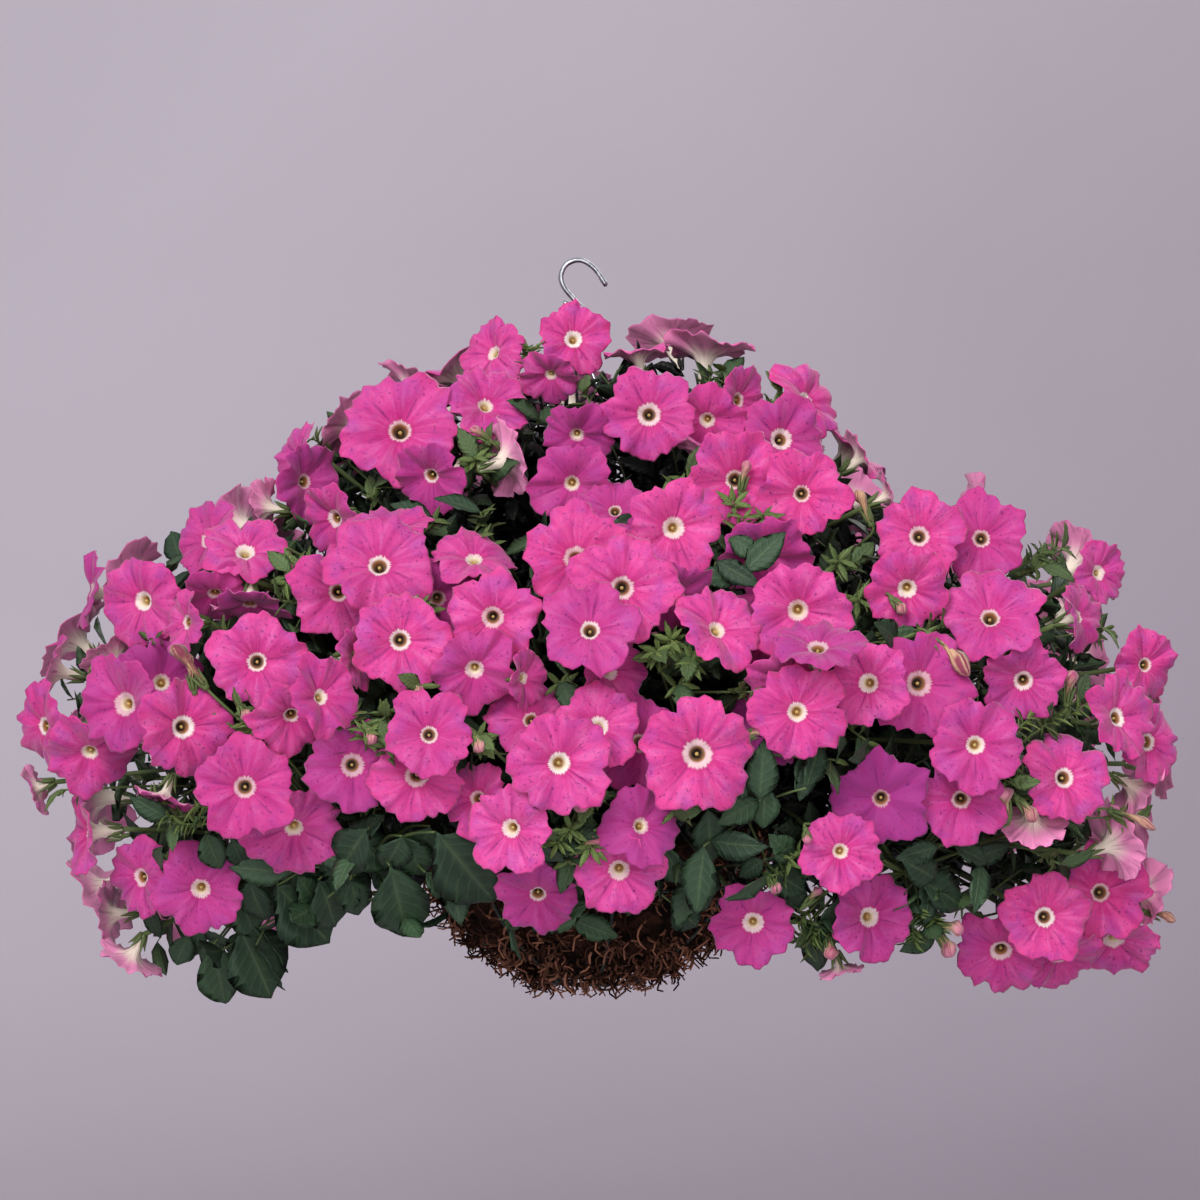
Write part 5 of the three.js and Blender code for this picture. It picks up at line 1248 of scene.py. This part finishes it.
# each tuft's pixel, length of its leaves in millimetres, and millimetres behind the outline
TUFTS = {
    "hook": [[524, 350, 20, 5], [585, 392, 24, 25], [476, 458, 26, 12]],
    "upper_left": [[375, 487, 26, 24], [420, 378, 20, 5], [432, 520, 32, 34]],
    "left_shoulder": [[290, 572, 24, 6], [268, 598, 28, 14], [418, 600, 20, 6]],
    "left": [[172, 612, 24, 16], [215, 636, 22, 10], [92, 664, 20, 8]],
    "lower_left": [[380, 722, 24, 8], [244, 712, 20, 8], [290, 872, 44, 14]],
    "left_skirt": [
        [168, 818, 32, 8], [60, 790, 20, 0], [160, 868, 30, 12], [222, 950, 48, 10], [256, 945, 52, 24],
    ],
    "middle_left": [[480, 512, 34, 14], [478, 536, 34, 10], [420, 686, 22, 10], [478, 736, 22, 14]],
    "middle": [
        [625, 528, 32, 12], [560, 682, 34, 34], [690, 655, 26, 12], [655, 650, 26, 12], [680, 684, 30, 24],
    ],
    "middle_low": [[568, 832, 26, 8], [590, 800, 22, 18], [452, 872, 50, 16], [565, 862, 34, 4]],
    "right_of_middle_low": [[704, 846, 50, 8], [672, 812, 26, 6], [690, 885, 44, 16]],
    "upper_right": [[690, 474, 26, 10], [782, 392, 20, 4], [722, 372, 20, 4]],
    "right_shoulder": [[748, 545, 36, 6], [862, 556, 30, 26], [782, 518, 24, 8], [745, 572, 40, 8]],
    "middle_right": [[752, 692, 24, 14], [806, 788, 40, 10], [760, 800, 44, 16]],
    "right": [[1042, 566, 26, 8], [896, 640, 36, 6], [866, 596, 30, 26], [940, 628, 24, 8]],
    "far_right": [[1062, 550, 22, 4], [1106, 628, 18, 0], [1078, 700, 28, 12], [1052, 716, 28, 14]],
    "right_of_middle": [[868, 742, 34, 24], [1010, 782, 22, 6], [836, 760, 32, 20]],
    "right_skirt": [[1060, 864, 28, 10], [936, 878, 42, 14], [980, 862, 38, 20], [1136, 818, 20, 0]],
    "lower_right": [[818, 925, 32, 4], [772, 872, 40, 14], [815, 950, 28, 6]],
    "trailing_left": [[345, 850, 40, 20], [408, 928, 38, 8], [318, 905, 44, 18], [385, 898, 34, 26]],
    "trailing_front": [[556, 910, 44, 2], [604, 915, 38, 18], [640, 905, 36, 20], [512, 918, 34, 26]],
    "trailing_right": [[926, 922, 30, 6], [896, 938, 34, 14], [962, 905, 32, 20]],
}
BACK_TUFTS = 14
BACK_LEAF = 34
# rows along a leaf: how far along, and its half width as a part of the widest
LEAF_ROWS = np.array([
    [0.03, 0.1], [0.14, 0.5], [0.3, 0.94], [0.46, 1.0], [0.64, 0.84], [0.8, 0.54], [0.93, 0.18],
])
BIG_LEAF_ROWS = np.array([
    [0.02, 0.08], [0.08, 0.34], [0.17, 0.64], [0.28, 0.88], [0.4, 1.0], [0.53, 0.97], [0.65, 0.83],
    [0.77, 0.6], [0.87, 0.36], [0.95, 0.14],
])
SMALL_LEAF_ROWS = np.array([[0.04, 0.14], [0.26, 0.88], [0.58, 0.94], [0.88, 0.34]])
# round a leaf's section: how far across, and whether on top or underneath
LEAF_SECTION = np.array([[-1, 0], [-0.5, 1], [0, 1], [0.5, 1], [1, 0], [0.5, -1], [0, -1], [-0.5, -1]])
SMALL_LEAF_SECTION = np.array([[-1, 0], [0, 1], [1, 0], [0, -1]])
LEAF_THICKNESS = 0.8
LEAF_WAVE = 0.022
LEAF_KEEL = 0.08
LEAF_ARCH = 0.13
LEAF_TIP = 0.1
LIMB_TESTS = 6
LIMB_LEVEL = -0.1
STALK_LEAVES = 5
STEM_LEAVES = 12
STALK_SHOOTS = 2
STEM_SHOOTS = 7
SHOOT_LENGTHS = (42, 84)
SHOOT_CUTS = np.array([1, 0.8, 0.6, 0.42])
SHOOT_POINTS = 4
SHOOT_BOW = 0.16
SHOOT_LEAVES = 6
YOUNG_LEAVES = 6
TIP_LEAVES = 11
# the least and most length of the small leaves on stems and stalks, on side shoots, on long leafy
# shoots and at young tips
STEM_LEAF = (20, 34)
SHOOT_LEAF = (17, 31)
LONG_SHOOT_LEAF = (24, 38)
TIP_LEAF = (10, 18)
YOUNG_LEAF = (10, 17)
YOUNG_GIRTH = 0.55
# for the back, the front and deeper in all round: how many shoots, between which turns round the
# crown, how far they stay inside its outline, and leaves on each
LEAFY_SHOOTS = [
    (90, (-0.09, 0.59), (0.06, 0.2), 12),
    (60, (0.56, 0.94), (0.22, 0.42), 12),
    (60, (0.0, 1.0), (0.3, 0.62), 12),
]
# how far out under the crown's outline a shoot may end, and how wide a berth it gives the basket
INSIDE_LEVEL = 0.92
BASKET_BERTH = 172
# x and the height below which nothing green hangs
UNDERSIDE = np.array([
    (-400, -540), (-240, -545), (-215, -505), (-125, -500), (-105, -455), (60, -455), (95, -490),
    (150, -515), (210, -520), (240, -500), (300, -520), (440, -545),
])
# pixels of the root and tip of each large leaf that shows under the blooms, its width as a part of
# its length, and millimetres behind the outline
BIG_LEAVES = [
    (212, 946, 228, 1008, 0.66, 8), (238, 928, 276, 1000, 0.85, 16), (276, 886, 334, 944, 0.85, 10),
    (250, 880, 264, 925, 0.6, 12), (390, 866, 410, 944, 0.52, 8), (436, 832, 500, 908, 0.6, 6),
    (368, 828, 337, 874, 0.6, 12), (590, 903, 528, 930, 0.48, 2), (570, 918, 620, 938, 0.5, 8),
    (205, 832, 222, 872, 0.6, 10), (708, 808, 712, 868, 0.5, 14), (690, 870, 712, 912, 0.7, 16),
    (672, 903, 700, 928, 0.8, 12), (402, 836, 385, 872, 0.7, 16), (765, 785, 762, 830, 0.8, 20),
    (811, 760, 800, 802, 0.5, 16), (764, 860, 738, 877, 0.75, 14), (765, 868, 810, 892, 0.7, 14),
    (792, 858, 771, 836, 0.6, 14), (750, 776, 722, 814, 0.36, 18), (815, 918, 817, 977, 0.38, 6),
    (830, 914, 838, 944, 0.75, 8), (730, 538, 764, 560, 0.5, 0), (716, 562, 760, 586, 0.45, 2),
    (637, 518, 609, 530, 0.5, 8), (938, 846, 896, 860, 0.55, 12), (952, 846, 992, 862, 0.5, 14),
    (918, 880, 968, 906, 0.6, 8), (936, 934, 900, 952, 0.55, 8), (318, 905, 300, 878, 0.7, 20),
    (455, 850, 470, 886, 0.6, 18), (350, 880, 362, 918, 0.6, 14), (232, 838, 246, 872, 0.55, 14),
    (425, 872, 452, 900, 0.55, 16), (318, 852, 352, 868, 0.6, 18), (884, 905, 900, 935, 0.6, 14),
    (330, 846, 350, 884, 0.8, 34), (350, 838, 394, 868, 0.8, 30), (398, 842, 372, 886, 0.8, 36),
    (404, 836, 424, 880, 0.7, 26), (296, 866, 322, 898, 0.8, 32), (338, 866, 372, 892, 0.8, 40),
    (372, 862, 404, 890, 0.8, 42), (238, 896, 258, 938, 0.8, 30), (262, 884, 292, 916, 0.8, 34),
    (252, 924, 240, 966, 0.8, 26), (282, 872, 300, 906, 0.8, 24), (430, 826, 412, 866, 0.7, 34),
    (188, 934, 176, 968, 0.6, 12), (200, 926, 194, 958, 0.6, 20), (318, 880, 340, 930, 0.8, 20),
    (244, 950, 262, 992, 0.8, 24), (222, 938, 206, 976, 0.6, 22), (354, 876, 334, 906, 0.8, 22),
    (800, 880, 786, 912, 0.7, 18), (860, 905, 846, 938, 0.6, 24), (148, 905, 160, 940, 0.5, 24),
]
# pixels of the light green shoot tips, and millimetres behind the outline
SHOOT_TIPS = [
    (475, 457, 6), (482, 438, 8), (285, 582, 4), (294, 563, 4), (366, 730, 4), (350, 716, 8),
    (388, 746, 8), (530, 350, 2), (534, 362, 8), (680, 484, 2), (664, 494, 4), (745, 516, 2),
    (735, 503, 4), (762, 514, 4), (712, 372, 0), (728, 384, 4), (778, 398, 2), (1059, 547, 0),
    (1042, 552, 4), (655, 652, 4), (692, 664, 6), (670, 640, 8), (905, 640, 4), (926, 636, 6),
    (1030, 718, 8), (1060, 714, 6), (1086, 704, 6), (1026, 776, 2), (1014, 766, 4), (936, 926, 0),
    (920, 914, 2), (914, 940, 2), (798, 924, 0), (815, 936, 0), (806, 946, 2), (570, 830, 4),
    (558, 842, 4), (772, 876, 6), (196, 806, 4), (165, 816, 4), (180, 824, 6), (140, 800, 6),
    (92, 662, 4), (1105, 630, 0), (246, 724, 4), (860, 600, 24), (840, 560, 24), (418, 604, 4),
    (312, 438, 0), (150, 640, 10), (1128, 816, 0), (590, 846, 2), (640, 905, 8), (700, 880, 6),
    (788, 858, 6),
]


def leaf_skins(root, ahead, face, length, light, young, rows=LEAF_ROWS, section=LEAF_SECTION, girth=1.0):
    """Leaves as lens-like skins: the outline from the rows, the keel a rise with the distance from
    the midrib, the arch a fall with the square of the way along, and waves along both edges."""
    side = unit(np.cross(face, ahead))
    lift = unit(np.cross(ahead, side))
    along, width = (part[None, :, None] for part in rows.T)
    across, layer = (part[None, None] for part in section.T)
    size, pale, fresh = (part[:, None, None] for part in (length, light, young))
    wave = LEAF_WAVE * np.sin(15 * along + 5 * pale + 2 * across) * np.abs(across)
    up = 0.03 + LEAF_KEEL * np.abs(across) * np.sin(np.pi * along) - LEAF_ARCH * along ** 2 + wave
    up = up + layer * LEAF_THICKNESS / 2 / size * (1 - 0.6 * along)
    out = across * width * LEAF_WIDTH / 2 * np.asarray(girth)[..., None, None]
    place = (root[:, None, None] + (along * size)[..., None] * ahead[:, None, None]
             + (out * size)[..., None] * side[:, None, None] + (up * size)[..., None] * lift[:, None, None])
    zero = np.zeros(place.shape[:3])
    marks = np.stack([part + zero for part in (along, across, 0, pale, fresh, 0)], axis=-1)
    ends = []
    for reach, rise in ((-0.02, 0.0), (1.0, -LEAF_TIP)):
        point = root + length[:, None] * (reach * ahead + rise * lift)
        flat = np.stack([reach + 0 * light, 0 * light, 0 * light], axis=-1)
        ends.append(np.hstack([point, flat, marks[:, 0, 0, 3:]]))
    return closed_skins(np.concatenate([place, marks], axis=-1), *ends)


def twig_ends(points):
    """The last direction of each twig, and the two square to it that its section has there after
    turning as little as it can from the twig's start."""
    steps = np.diff(points, axis=1)
    roots = np.sqrt(np.linalg.norm(steps, axis=-1, keepdims=True))
    tangents = [unit(steps[:, 0])]
    if points.shape[1] == 3:
        through = (steps[:, 0] / roots[:, 0] - (steps[:, 0] + steps[:, 1]) / (roots[:, 0] + roots[:, 1])
                   + steps[:, 1] / roots[:, 1])
        tangents.append(unit(through))
    tangents.append(unit(steps[:, -1]))
    least = 2 - np.abs(tangents[0][:, ::-1]).argmin(axis=1)
    normal = np.cross(tangents[0], unit(np.cross(tangents[0], np.eye(3)[least])))
    for a, b in zip(tangents, tangents[1:]):
        lean = (b * normal).sum(-1, keepdims=True) / (1 + (a * b).sum(-1, keepdims=True))
        normal = normal - lean * (a + b)
    return tangents[-1], normal, np.cross(tangents[-1], normal)


def twig_ways(tip, spray):
    """All the ways that a twig could come from the stem's last stretch, as points."""
    bend, end = spray["points"][-2:]
    straight, bent = [], []
    for retreat in TUFT_RETREATS:
        back_tip = mixed(tip, spray["tip"], retreat)
        for part in TWIG_STARTS:
            start = mixed(bend, end, part)
            for offset in bypasses(unit(back_tip - start)):
                if offset.any():
                    bent.append([start, mixed(start, back_tip, 0.55) + offset, back_tip])
                else:
                    straight.append([start, back_tip])
    return [np.array(straight), np.array(bent)]


def tuft_leaves(ways, length, seed):
    """Root, direction, face and size of each leaf of a tuft, for each way and each try."""
    ahead, side, over = twig_ends(ways)
    k = np.arange(2)[:, None]
    attempt = np.arange(LEAF_TRIES)
    turn = (k + seed + attempt) / 3 + mixed(-0.05, 0.05, chance(seed, k + attempt))
    spread = mixed(*LEAF_SPREAD, chance(seed, k + 20)) + (HANGING_SPREAD if length > HANGING_LEAF else 0)
    root = ways[:, -1, None, None] - ahead[:, None, None] * (TWIG_RADIUS + k * LEAF_SPACING)[..., None]
    angle = (TURN * turn)[None, ..., None]
    out = side[:, None, None] * np.cos(angle) + over[:, None, None] * np.sin(angle)
    spread = TURN * spread
    cos, sin = (part[None, ..., None] * np.ones_like(angle) for part in (np.cos(spread), np.sin(spread)))
    along = ahead[:, None, None]
    size = length * mixed(1, 0.86, k) * mixed(1, 0.75, attempt / LEAF_TRIES)
    return root + 0 * out, along * cos + out * sin, along * sin - out * cos, size


def found_tuft(tip, length, seed, spray, corners):
    """The twig and leaves that the CAD solid has: of all ways and tries, those whose leaves' points
    lie nearest to corners of the node. A leaf with none within a millimetre was left out there."""
    near = corners[np.linalg.norm(corners - tip, axis=1) < TUFT_ROOM]
    best = (np.inf, None, None)
    if not len(near):
        return best[1:]
    for ways in twig_ways(tip, spray):
        root, out, face, size = tuft_leaves(ways, length, seed)
        lift = unit(np.cross(out, unit(np.cross(face, out))))
        ends = root + size[None, ..., None] * (out - LEAF_TIP * lift)
        off = np.minimum(far_from(ends, near), LEAF_OFF)
        total = off.min(axis=2).sum(axis=1)
        way = int(total.argmin())
        if total[way] < best[0]:
            tries = off[way].argmin(axis=1)
            kept = [k for k in range(2) if off[way, k, tries[k]] < LEAF_FOUND]
            leaves = [
                (*(part[way, k, tries[k]] for part in (root, out, face)), size[k, tries[k]]) for k in kept]
            best = (total[way], ways[way], leaves)
    return best[1:]


for k in range(BACK_TUFTS):
    turn = mixed(*BACK_TURNS, (k * GOLDEN_TURN + 0.45) % 1)
    tip = mixed(crown_back(turn, crown_height((k + 1) / (BACK_TUFTS + 1))), CROWN_HEART, BACK_SUNK[1])
    nearest_back(tip).setdefault("tufts", []).append((tip, BACK_LEAF * mixed(0.8, 1.15, chance(k, 6))))
for name, rows in TUFTS.items():
    spray = next(spray for spray in stems if spray["name"] == name)
    spray["tufts"] = [(crown_front(px, py, behind), length) for px, py, length, behind in rows]

limbs = {
    key: np.array([bloom[key] for spray in sprays for bloom in spray["blooms"]])
    for key in ("centre", "normal", "radius")}


def clear_of_limbs(root, tip):
    """Whether a straight piece of green neither goes through a bloom's limb nor stands just before
    its face, by places along it set against each bloom's plane and axis."""
    share = np.linspace(0, 1, LIMB_TESTS)[:, None, None]
    off = (mixed(root, tip, share)[:, :, None] - limbs["centre"]) / limbs["radius"][:, None]
    height = (off * limbs["normal"]).sum(-1)
    reach = np.sqrt(np.maximum((off ** 2).sum(-1) - height ** 2, 0))
    above = height > LIMB_LEVEL
    through = (above[1:] != above[:-1]) & (reach[1:] < 0.96)
    before = above & (height < 0.8) & (reach < 0.85)
    return ~(through.any(axis=(0, 2)) | (before.sum(axis=0) > LIMB_TESTS / 2).any(axis=1))


def spread_out(paths, k, count, stray, stretch, towards):
    """Places spread over a stretch of each path, a count of them on each and each with its own
    stray, and the way on from there."""
    which = k // count
    share = mixed(*stretch, (k % count + stray) / count) * (paths.shape[1] - 1)
    low = np.floor(share).astype(int)
    here, there = paths[which, low], paths[which, low + 1]
    return mixed(here, there, (share - low)[:, None]), unit(there - here) * towards


def clothing_leaves(paths, count, seed, lengths, towards, stretch=(0.1, 0.86), girth=1.0, hidden=True):
    """Small leaves up a set of paths: evenly spread over a stretch of each with some stray, each a
    golden turn on from the last, and leaning along the path. Hidden ones keep clear of the blooms."""
    k = np.arange(len(paths) * count)
    root, ahead = spread_out(paths, k, count, 0.8 * chance(k + seed, 70), stretch, towards)
    side, _ = square_to(ahead, k * GOLDEN_TURN + 0.15 * chance(k + seed, 71))
    lean = mixed(0.25, 0.8, chance(k + seed, 72))[:, None]
    out = unit(side + ahead * lean)
    face = unit(ahead - side * lean)
    length = mixed(*lengths, chance(k + seed, 73))
    light = chance(k + seed, 74)
    if hidden:
        kept = clear_of_limbs(root, root + out * length[:, None])
        root, out, face, length, light = (part[kept] for part in (root, out, face, length, light))
    return leaf_skins(
        root, out, face, length, light, 0.12 * light, SMALL_LEAF_ROWS, SMALL_LEAF_SECTION, girth)


def inside_crown(place):
    """Whether a place is under the crown's outline, above its underside and clear of the basket."""
    above = place[..., 2] > np.interp(place[..., 0], *UNDERSIDE.T)
    from_axis = np.hypot(place[..., 0] - BASKET_X, place[..., 1])
    clear = (from_axis > BASKET_BERTH) | (place[..., 2] > RIM_Z + RIM_WIRE)
    return (crown_level(place) < INSIDE_LEVEL) & above & clear


def side_shoots(paths, count, seed, towards):
    """Curved shoots off a set of paths, each as long as it can be and still end inside the crown."""
    k = np.arange(len(paths) * count)
    root, ahead = spread_out(paths, k, count, 0.9 * chance(k + seed, 90), (0.12, 0.92), towards)
    side, _ = square_to(ahead, chance(k + seed, 91))
    heading = unit(side + ahead * mixed(0.2, 1.0, chance(k + seed, 92))[:, None])
    length = mixed(*SHOOT_LENGTHS, chance(k + seed, 93))[:, None]
    fits = np.stack([inside_crown(root + heading * length * part) for part in SHOOT_CUTS])
    length = length * SHOOT_CUTS[fits.argmax(axis=0)][:, None]
    kept = fits.any(axis=0) & clear_of_limbs(root, root + heading * length)
    t = np.linspace(0, 1, SHOOT_POINTS)[None, :, None]
    bow = np.array([0, 0, SHOOT_BOW]) * t * (1 - t)
    return (root[:, None] + length[:, None] * (heading[:, None] * t + bow))[kept]


def clothed_shoots(paths, count, seed, towards):
    """Side shoots as thin green rods, and the leaves that stand on them to their ends."""
    shoots = side_shoots(paths, count, seed, towards)
    return [
        green_rods(shoots, 1.0, 0.5, 4, 0.5, 0.2),
        clothing_leaves(shoots, SHOOT_LEAVES, seed + 7, SHOOT_LEAF, 1, (0.12, 0.99)),
    ]


def young_cluster(path, count, seed, lengths, stretch, young):
    """Narrow light green leaves crowded at the end of a twig."""
    cluster = clothing_leaves(path[None, -4:], count, seed, lengths, 1, stretch, YOUNG_GIRTH, False)
    cluster[0][:, 7] = young
    return cluster


def twig_from_stem(place, choices, part, rise, steps):
    """The stem nearest to a place, and a twig from it that rises over its own middle to the place."""
    spray, joint = nearest_stem(place, choices)
    return spray, smooth_line([joint, mixed(joint, place, part) + [0, 0, rise], place], steps)


for number, (root_px, root_py, tip_px, tip_py, girth, behind) in enumerate(BIG_LEAVES):
    root, tip = crown_front(root_px, root_py, behind + 6), crown_front(tip_px, tip_py, behind)
    length = np.array([np.linalg.norm(tip - root)])
    ahead = unit(tip - root)[None]
    face = np.array([[mixed(-0.35, 0.35, chance(number, 94)), -1, mixed(-0.1, 0.45, chance(number, 95))]])
    light = np.array([0.8 * chance(number, 96) ** 1.5])
    girth = girth / LEAF_WIDTH
    spray, stalk = twig_from_stem(root, front_stems, 0.6, 8, 5)
    spray["green"] += [
        green_rods(stalk, 1.5, 0.8, 6, 0.3, 0.1),
        leaf_skins(root[None], ahead, face, length, light, 0 * light, BIG_LEAF_ROWS, girth=girth),
    ]

for number, (px, py, behind) in enumerate(SHOOT_TIPS):
    spray, twig = twig_from_stem(crown_front(px, py, behind), front_stems, 0.6, 10, 8)
    young = mixed(0.35, 0.8, chance(number, 97))
    spray["green"] += [
        green_rods(twig, 1.2, 0.6, 6, 0.6, 0.3),
        young_cluster(twig, TIP_LEAVES, 700 + number, TIP_LEAF, (0.05, 0.99), young),
        clothing_leaves(twig[None], STEM_LEAVES // 2, 800 + number, (18, 30), 1, (0.2, 0.8)),
    ]

for count, turns, sunk, leaf_count in LEAFY_SHOOTS:
    for k in range(count):
        turn = mixed(*turns, (k * GOLDEN_TURN + 0.1) % 1)
        outermost = crown_back(turn, crown_height((k + 0.5) / count))
        tip = mixed(outermost, CROWN_HEART, mixed(*sunk, chance(k, 99)))
        spray, twig = twig_from_stem(tip, stems, 0.55, 12, 8)
        spray["green"] += [
            green_rods(twig, 1.3, 0.6, 5, 0.5, 0.2),
            clothing_leaves(twig[None], leaf_count, 1100 + 13 * k, LONG_SHOOT_LEAF, 1, (0.3, 0.99), 1.15),
        ]

for number, spray in enumerate(stems):
    corners = cad_corners("leafy_stem_" + spray["name"])
    leaves, tips = [], []
    for k, (tip, length) in enumerate(spray.get("tufts", [])):
        way, found = found_tuft(tip, length, number * 10 + k, spray, corners)
        if not found:
            continue
        path = smooth_line(way, 8 if len(way) == 3 else 16)
        spray["green"].append(green_rods(path, TWIG_RADIUS * 1.2, TWIG_RADIUS * 0.6, 6, 0.6, 0.4))
        leaves += found
        if length < HANGING_LEAF:
            tips.append(path)
    if leaves:
        root, out, face, size = (np.array(part) for part in zip(*leaves))
        light = chance(np.arange(len(leaves)), number + 80)
        young = np.clip(1.2 - size / 26, 0, 0.7)
        spray["green"].append(leaf_skins(root, out, face, size, light, young))
    spray["green"] += [
        young_cluster(path, YOUNG_LEAVES, 500 + number, YOUNG_LEAF, (0.3, 0.99), 0.55) for path in tips]
    stem = spray["path"][None]
    spray["green"].append(clothing_leaves(stem[:, STEM_STEPS:], STEM_LEAVES, 900 + number, STEM_LEAF, 1))
    spray["green"] += clothed_shoots(stem[:, 2 * STEM_STEPS:], STEM_SHOOTS, 300 + number, 1)
    if spray["blooms"]:
        spray["green"].append(clothing_leaves(spray["stalks"], STALK_LEAVES, 100 * number, STEM_LEAF, -1))
        spray["green"] += clothed_shoots(spray["stalks"], STALK_SHOOTS, 200 * number, -1)
    node = "leafy_stem_" + spray["name"]
    skins = with_painted_crown_shade(spray["green"])
    add_piece("foliage_" + spray["name"], skins, leafy, [node], ["own_place", "tint"])

# Studio: a pale floor that sweeps up all round into a lilac grey backdrop, soft light from the
# front and upper left, and a level camera three metres off with a long lens.
FLOOR_Z = -1.6
# how far out the sweep is, and how high above the floor, in metres
SWEEP = [(0.01, 0), (2, 0), (4.6, 0), (5.4, 0.08), (6.1, 0.35), (6.6, 0.8), (6.9, 1.4), (7, 2.2), (7, 4.2)]
SWEEP_COLUMNS = 96
BACKDROP_CLOUDS_A_METRE = 0.8
# each light's kind, place, what it aims at, its strength, and its width in metres or radians
LIGHTS = {
    "key": ("SUN", (-1.3, -3.0, 1.7), (0, 0, -0.3), 2.1, 0.5),
    "front_fill": ("AREA", (0.8, -3.4, 0.4), (0, 0, -0.3), 29, 1.6),
    "back_fill": ("SUN", (1.5, 3.0, 1.6), (0, 0, -0.3), 1.4, 0.8),
    "floor_bounce": ("AREA", (0, -1.4, -1.45), (0, 0, -0.2), 7, 1.8),
}
SKY_STRENGTH = 0.5
LENS = 120
SENSOR_WIDTH = 36

reach, rise = np.array(SWEEP).T
turn = TURN * np.arange(SWEEP_COLUMNS) / SWEEP_COLUMNS
sweep_points = np.stack([
    np.outer(reach, np.cos(turn)), np.outer(reach, np.sin(turn)),
    np.outer(FLOOR_Z + rise, np.ones_like(turn)),
], axis=-1)
here = np.arange(len(SWEEP) * SWEEP_COLUMNS).reshape(len(SWEEP), SWEEP_COLUMNS)
beside = np.roll(here, -1, axis=1)
quads = np.stack([here[:-1], here[1:], beside[1:], beside[:-1]], axis=-1).reshape(-1, 4)
sweep_mesh = bpy.data.meshes.new("studio_sweep")
sweep_mesh.from_pydata(sweep_points.reshape(-1, 3).tolist(), [], quads.tolist())
sweep_mesh.polygons.foreach_set("use_smooth", np.ones(len(quads), bool))
backdrop, shader, place = new_finish("lilac_grey_backdrop", Roughness=0.95, Specular_IOR_Level=0.1)
across, _, high = place.parts()
# painted light: the sweep is painted lighter to the left and top and darker to the right and bottom, with
# cloudy patches
fall = across * 0.22 - high * 0.22 + place.noise(BACKDROP_CLOUDS_A_METRE, 3) * 0.25 + 0.3
fall.maths("MINIMUM", 1).blend(colour(201, 195, 203), colour(156, 146, 156)).wear(shader, "Base Color")
sweep_mesh.materials.append(backdrop)
sweep = bpy.data.objects.new("studio_sweep", sweep_mesh)
bpy.context.scene.collection.objects.link(sweep)


def soft_light(name, kind, place, aim, energy, width):
    """A light at a place, turned to face a point."""
    data = bpy.data.lights.new(name, kind)
    data.energy = energy
    if kind == "AREA":
        data.shape, data.size = "DISK", width
    else:
        data.angle = width
    lamp = bpy.data.objects.new(name, data)
    bpy.context.scene.collection.objects.link(lamp)
    lamp.location = place
    lamp.rotation_euler = (Vector(aim) - Vector(place)).to_track_quat("-Z", "Y").to_euler()


for name, settings in LIGHTS.items():
    soft_light(name, *settings)

scene = bpy.context.scene
scene.world = bpy.data.worlds.new("studio")
scene.world.use_nodes = True
sky = scene.world.node_tree.nodes["Background"].inputs
sky["Color"].default_value = colour(214, 210, 222)
sky["Strength"].default_value = SKY_STRENGTH
scene.view_settings.view_transform = "Standard"

camera_data = bpy.data.cameras.new("camera")
camera_data.lens, camera_data.sensor_width = LENS, SENSOR_WIDTH
camera = bpy.data.objects.new("camera", camera_data)
camera.location = (VIEW_CENTRE[0] * MM, -VIEW_DISTANCE * MM, VIEW_CENTRE[1] * MM)
camera.rotation_euler = (np.pi / 2, 0, 0)
scene.collection.objects.link(camera)
scene.camera = camera
